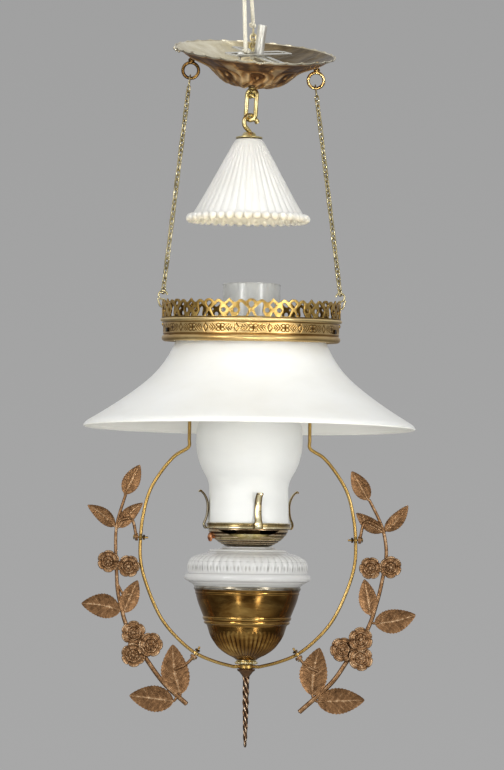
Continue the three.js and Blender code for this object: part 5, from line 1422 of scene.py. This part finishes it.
def prong(squat):
    """One bent spring of crowned strip; squat is its height as a share of the others'."""
    foot = -558.6
    shape = spline([(42.2, foot), (43.7, -557.6), (44.6, -555), (44.2, -552.4), (42.9, -549.4), (41.8, -545.5),
                    (41.2, -540.4), (41.2, -535.4), (42.2, -530.4), (44.6, -525.4), (47.4, -522.2),
                    (49.4, -520.8), (50.6, -521.4), (50.9, -522.8)], 6)
    normals = beside(shape, 1.0) - shape
    n = len(shape)
    verts, faces, relief = [], [], []
    for j, (r, z) in enumerate(shape):
        s = j / (n - 1)
        z = foot + (z - foot) * squat
        wide = 5.2 - 5.4 * s if s < 0.3 else 3.58 - 0.5 * (s - 0.3)
        for c in (-1, -0.55, 0, 0.55, 1):
            for layer in (0.5, -0.5):
                push = layer + 0.5 * c * c
                verts.append((r - normals[j][0] * push, c * wide, z - normals[j][1] * push))
                relief.append(0.9 - 0.75 * c * c)
    row = 10
    for j in range(n - 1):
        for a in range(j * row, j * row + 8, 2):
            b = a + 1
            faces.append((a, a + 2, a + 2 + row, a + row))
            faces.append((b, b + row, b + 2 + row, b + 2))
        a, e = j * row, j * row + 8
        faces.append((a, a + row, a + 1 + row, a + 1))
        faces.append((e, e + 1, e + 1 + row, e + row))
    for j in (0, n - 1):
        faces += [(a, a + 1, a + 3, a + 2) for a in range(j * row, j * row + 8, 2)]
    return verts, faces, relief


def prong_ring():
    outline = [(27.5, -557.1), (33, -557.1), (39.8, -557.4), (40.4, -558.5), (41.6, -558.9), (42.3, -558.4),
               (42.2, -557.4), (41.7, -556.8), (41.6, -554.4), (42, -553.8), (41.6, -553.2), (40.9, -553.4),
               (40.8, -556.2), (40, -556.4), (33, -556.2), (27.5, -556.3)]
    parts = [revolve(outline, 180, lambda angle, k, r, z: (r, z, 0.7 if k in (4, 5, 6, 9, 10) else 0.4))]
    for i in range(4):
        turn = turned(13 + 90 * i, "Z")
        parts.append(moved(prong(0.92 if i == 3 else 1), turn))
        for up in (-1.4, 1.4):
            parts.append(moved(ball(0.75, 10, 5, relief=0.9), turn @ at(45.2, up, -555)))
    mesh_object("prong_gallery_full", merged(parts), "font", prong_silver, ["prong_gallery"], on_axis(), 40)


prong_ring()


def flame_dome():
    foot = [(31, -557.2), (31.1, -556.6), (30.6, -556.3), (25.6, -556.2), (25, -555.6)]
    turns = np.linspace(0.02, math.pi / 2 - 0.14, 20)
    dome = [(25 * math.cos(t) ** 0.8 + 0.001, -555.6 + 22.4 * math.sin(t)) for t in turns]
    inner = [(r - 0.9 if r > 6 else r, z - 0.8) for r, z in dome[::-1]] + [(24.2, -557.1)]

    def dents(angle, k, r, z):
        hole = max(0.0, math.cos(angle * 18)) ** 8 * (1 if -552 < z < -545 else 0)
        return r - 0.5 * hole, z, 0.6 - 0.5 * hole

    made = revolve(foot + dome + inner, 216, dents)
    mesh_object("flame_dome_full", made, "font", brass_gold, ["flame_dome"], on_axis(), 50)


flame_dome()
bevelled("wick_tube", brass_old)


def wick():
    rows, columns = 60, 28
    low, high = -615.6, -548.7

    def woven(i, k, t):
        x = 10.2 * np.sign(math.cos(t)) * abs(math.cos(t)) ** 0.35
        y = 1.15 * np.sign(math.sin(t)) * abs(math.sin(t)) ** 0.8
        weave = 0.12 * math.sin(i * 2.6 + k * 2.2)
        return x, y + weave * np.sign(y), low + (high - low) * i / rows, 0.5 + weave * 3

    verts, faces, relief = wound(rows, columns, woven)
    faces.append(list(range(columns))[::-1])
    faces.append([rows * columns + k for k in range(columns)])
    mesh_object("wick_woven", (verts, faces, relief), "wick", wick_cotton, ["wick"], on_axis(), 60)


wick()


def wick_knob():
    """Knurled wheel on its thin shaft."""
    turn = math.radians(196)
    way = Vector((math.cos(turn), math.sin(turn), 0))
    shaft = revolve([(0, -8), (1.4, -7.8), (1.5, -7.4), (1.5, 40), (0, 40.4)], 20)
    wheel = [(0, 38.2), (1.4, 38.2), (2.4, 37.9), (3.2, 38.2), (3.9, 37.9), (4.3, 38.3), (4.3, 40), (3.9, 40.5),
             (3.2, 40.1), (2.6, 40.4), (2.0, 41.4), (1.2, 41.7), (0, 41.7)]

    def knurl(angle, k, r, z):
        if k not in (4, 5):
            return r, z, 0.55
        tooth = abs(math.cos(angle * 22)) ** 0.7
        return r + 0.35 * (tooth - 0.5), z, tooth

    made = merged([shaft, revolve(wheel, 176, knurl)])
    place = at(AXIS, 0, -567.46) @ aimed(way)
    mesh_object("wick_knob_knurled", made, "wick_wheel", knob_copper, ["wick_knob"], place, 50)


wick_knob()


def chimney():
    low, height = -557.29, 242
    shares = [(0, 40.2), (0.06, 40.1), (0.12, 39.7), (0.165, 39.6), (0.2, 41.8), (0.225, 45.2), (0.25, 48.2),
              (0.278, 50.6), (0.315, 52.5), (0.36, 53.2), (0.41, 52.4), (0.46, 48), (0.53, 37), (0.62, 30.4),
              (0.8, 29.0), (1, 28.9)]
    outer = spline([(r, low + height * z) for z, r in shares], 9)
    bead = [(29.3, low + height + 0.2), (28.9, low + height + 1.0), (27.5, low + height + 0.9)]
    profile = joined(outer, bead, beside(outer, 2.0)[::-1], [(38.4, low - 0.1), (39.6, low - 0.2)])
    mesh_object("chimney_blown", revolve(profile, 160), "chimney", chimney_white, ["chimney"], on_axis(), 60)


chimney()

# Plain pale floor, soft studio light and a grey surrounding
FLOOR_RADIUS, FLOOR_HEIGHT = 2500, -2400


def floor():
    t = np.linspace(0, TAU, 96, endpoint=False)
    verts = [(FLOOR_RADIUS * math.cos(a), FLOOR_RADIUS * math.sin(a), FLOOR_HEIGHT) for a in t]
    mesh = bpy.data.meshes.new("studio_floor")
    mesh.from_pydata([tuple(c * MM for c in v) for v in verts], [], [list(range(96))])
    made = add_object("studio_floor", mesh)
    paint, _, _ = new_material("studio_floor", Base_Color=rgb(206, 206, 204), Roughness=0.8)
    mesh.materials.append(paint)


floor()


def area_light(name, place, target, size, power, tint=(1, 1, 1), spread=180):
    """A rectangular lamp; places and sizes are in metres, power in watts, spread in degrees."""
    data = bpy.data.lights.new(name, "AREA")
    data.shape = "RECTANGLE"
    data.size, data.size_y = size
    data.energy = power
    data.color = tint
    data.spread = math.radians(spread)
    made = add_object(name, data)
    made.location = Vector(place)
    made.rotation_euler = (Vector(target) - Vector(place)).to_track_quat("-Z", "Y").to_euler()
    made.visible_camera = False


area_light("key_left", (-1.5, -1.9, 0.1), (0, 0, -0.4), (0.42, 1.5), 24, (1.0, 0.995, 0.98))
area_light("fill_right", (1.5, -1.8, -0.2), (0, 0, -0.45), (0.36, 1.4), 21, (1.0, 1.0, 0.99))
area_light("top_soft", (0.1, -0.5, 1.4), (0, 0, -0.4), (1.2, 1.0), 8)
area_light("bell_low", (0.1, -1.6, -0.78), (0, 0, -0.2), (0.3, 0.2), 0.26, (1.0, 0.96, 0.86), 26)
area_light("strip_right", (0.95, -1.8, -1.3), (0, 0, -0.45), (0.22, 1.5), 6.8, (1.0, 0.985, 0.95))
area_light("strip_left", (-0.75, -1.9, -1.3), (0, 0, -0.45), (0.16, 1.5), 4.5, (1.0, 0.98, 0.94))


def surroundings():
    """An even light; what is seen straight, in metal or through glass has greys of its own."""
    world = bpy.data.worlds.new("surroundings")
    scene.world = world
    world.use_nodes = True
    tree = world.node_tree
    tree.nodes.clear()
    level = between(tree, coordinate(tree, "Z", "Generated"), -1.0, 1.0)
    room = ramp(tree, level, [(0.1, (70, 66, 62)), (0.4, (120, 118, 116)), (0.55, (176, 176, 178)),
                              (0.9, (220, 220, 220))])
    grey = ramp(tree, level, [(0.46, (168, 168, 168)), (0.6, (160, 160, 160))])
    even = add(tree, "ShaderNodeBackground", Color=rgb(207, 207, 206), Strength=0.8)
    mirror = add(tree, "ShaderNodeBackground", Strength=1.0)
    back = add(tree, "ShaderNodeBackground", Strength=1.0)
    ray = add(tree, "ShaderNodeLightPath")
    seen = add(tree, "ShaderNodeMath", operation="MAXIMUM")
    one = add(tree, "ShaderNodeMixShader")
    two = add(tree, "ShaderNodeMixShader")
    out = add(tree, "ShaderNodeOutputWorld")
    for source, target in (
        (room, mirror.inputs["Color"]),
        (grey, back.inputs["Color"]),
        (ray.outputs["Is Camera Ray"], seen.inputs[0]),
        (ray.outputs["Is Transmission Ray"], seen.inputs[1]),
        (ray.outputs["Is Glossy Ray"], one.inputs[0]),
        (even.outputs[0], one.inputs[1]),
        (mirror.outputs[0], one.inputs[2]),
        (seen.outputs[0], two.inputs[0]),
        (one.outputs[0], two.inputs[1]),
        (back.outputs[0], two.inputs[2]),
        (two.outputs[0], out.inputs["Surface"]),
    ):
        tree.links.new(source, target)


surroundings()
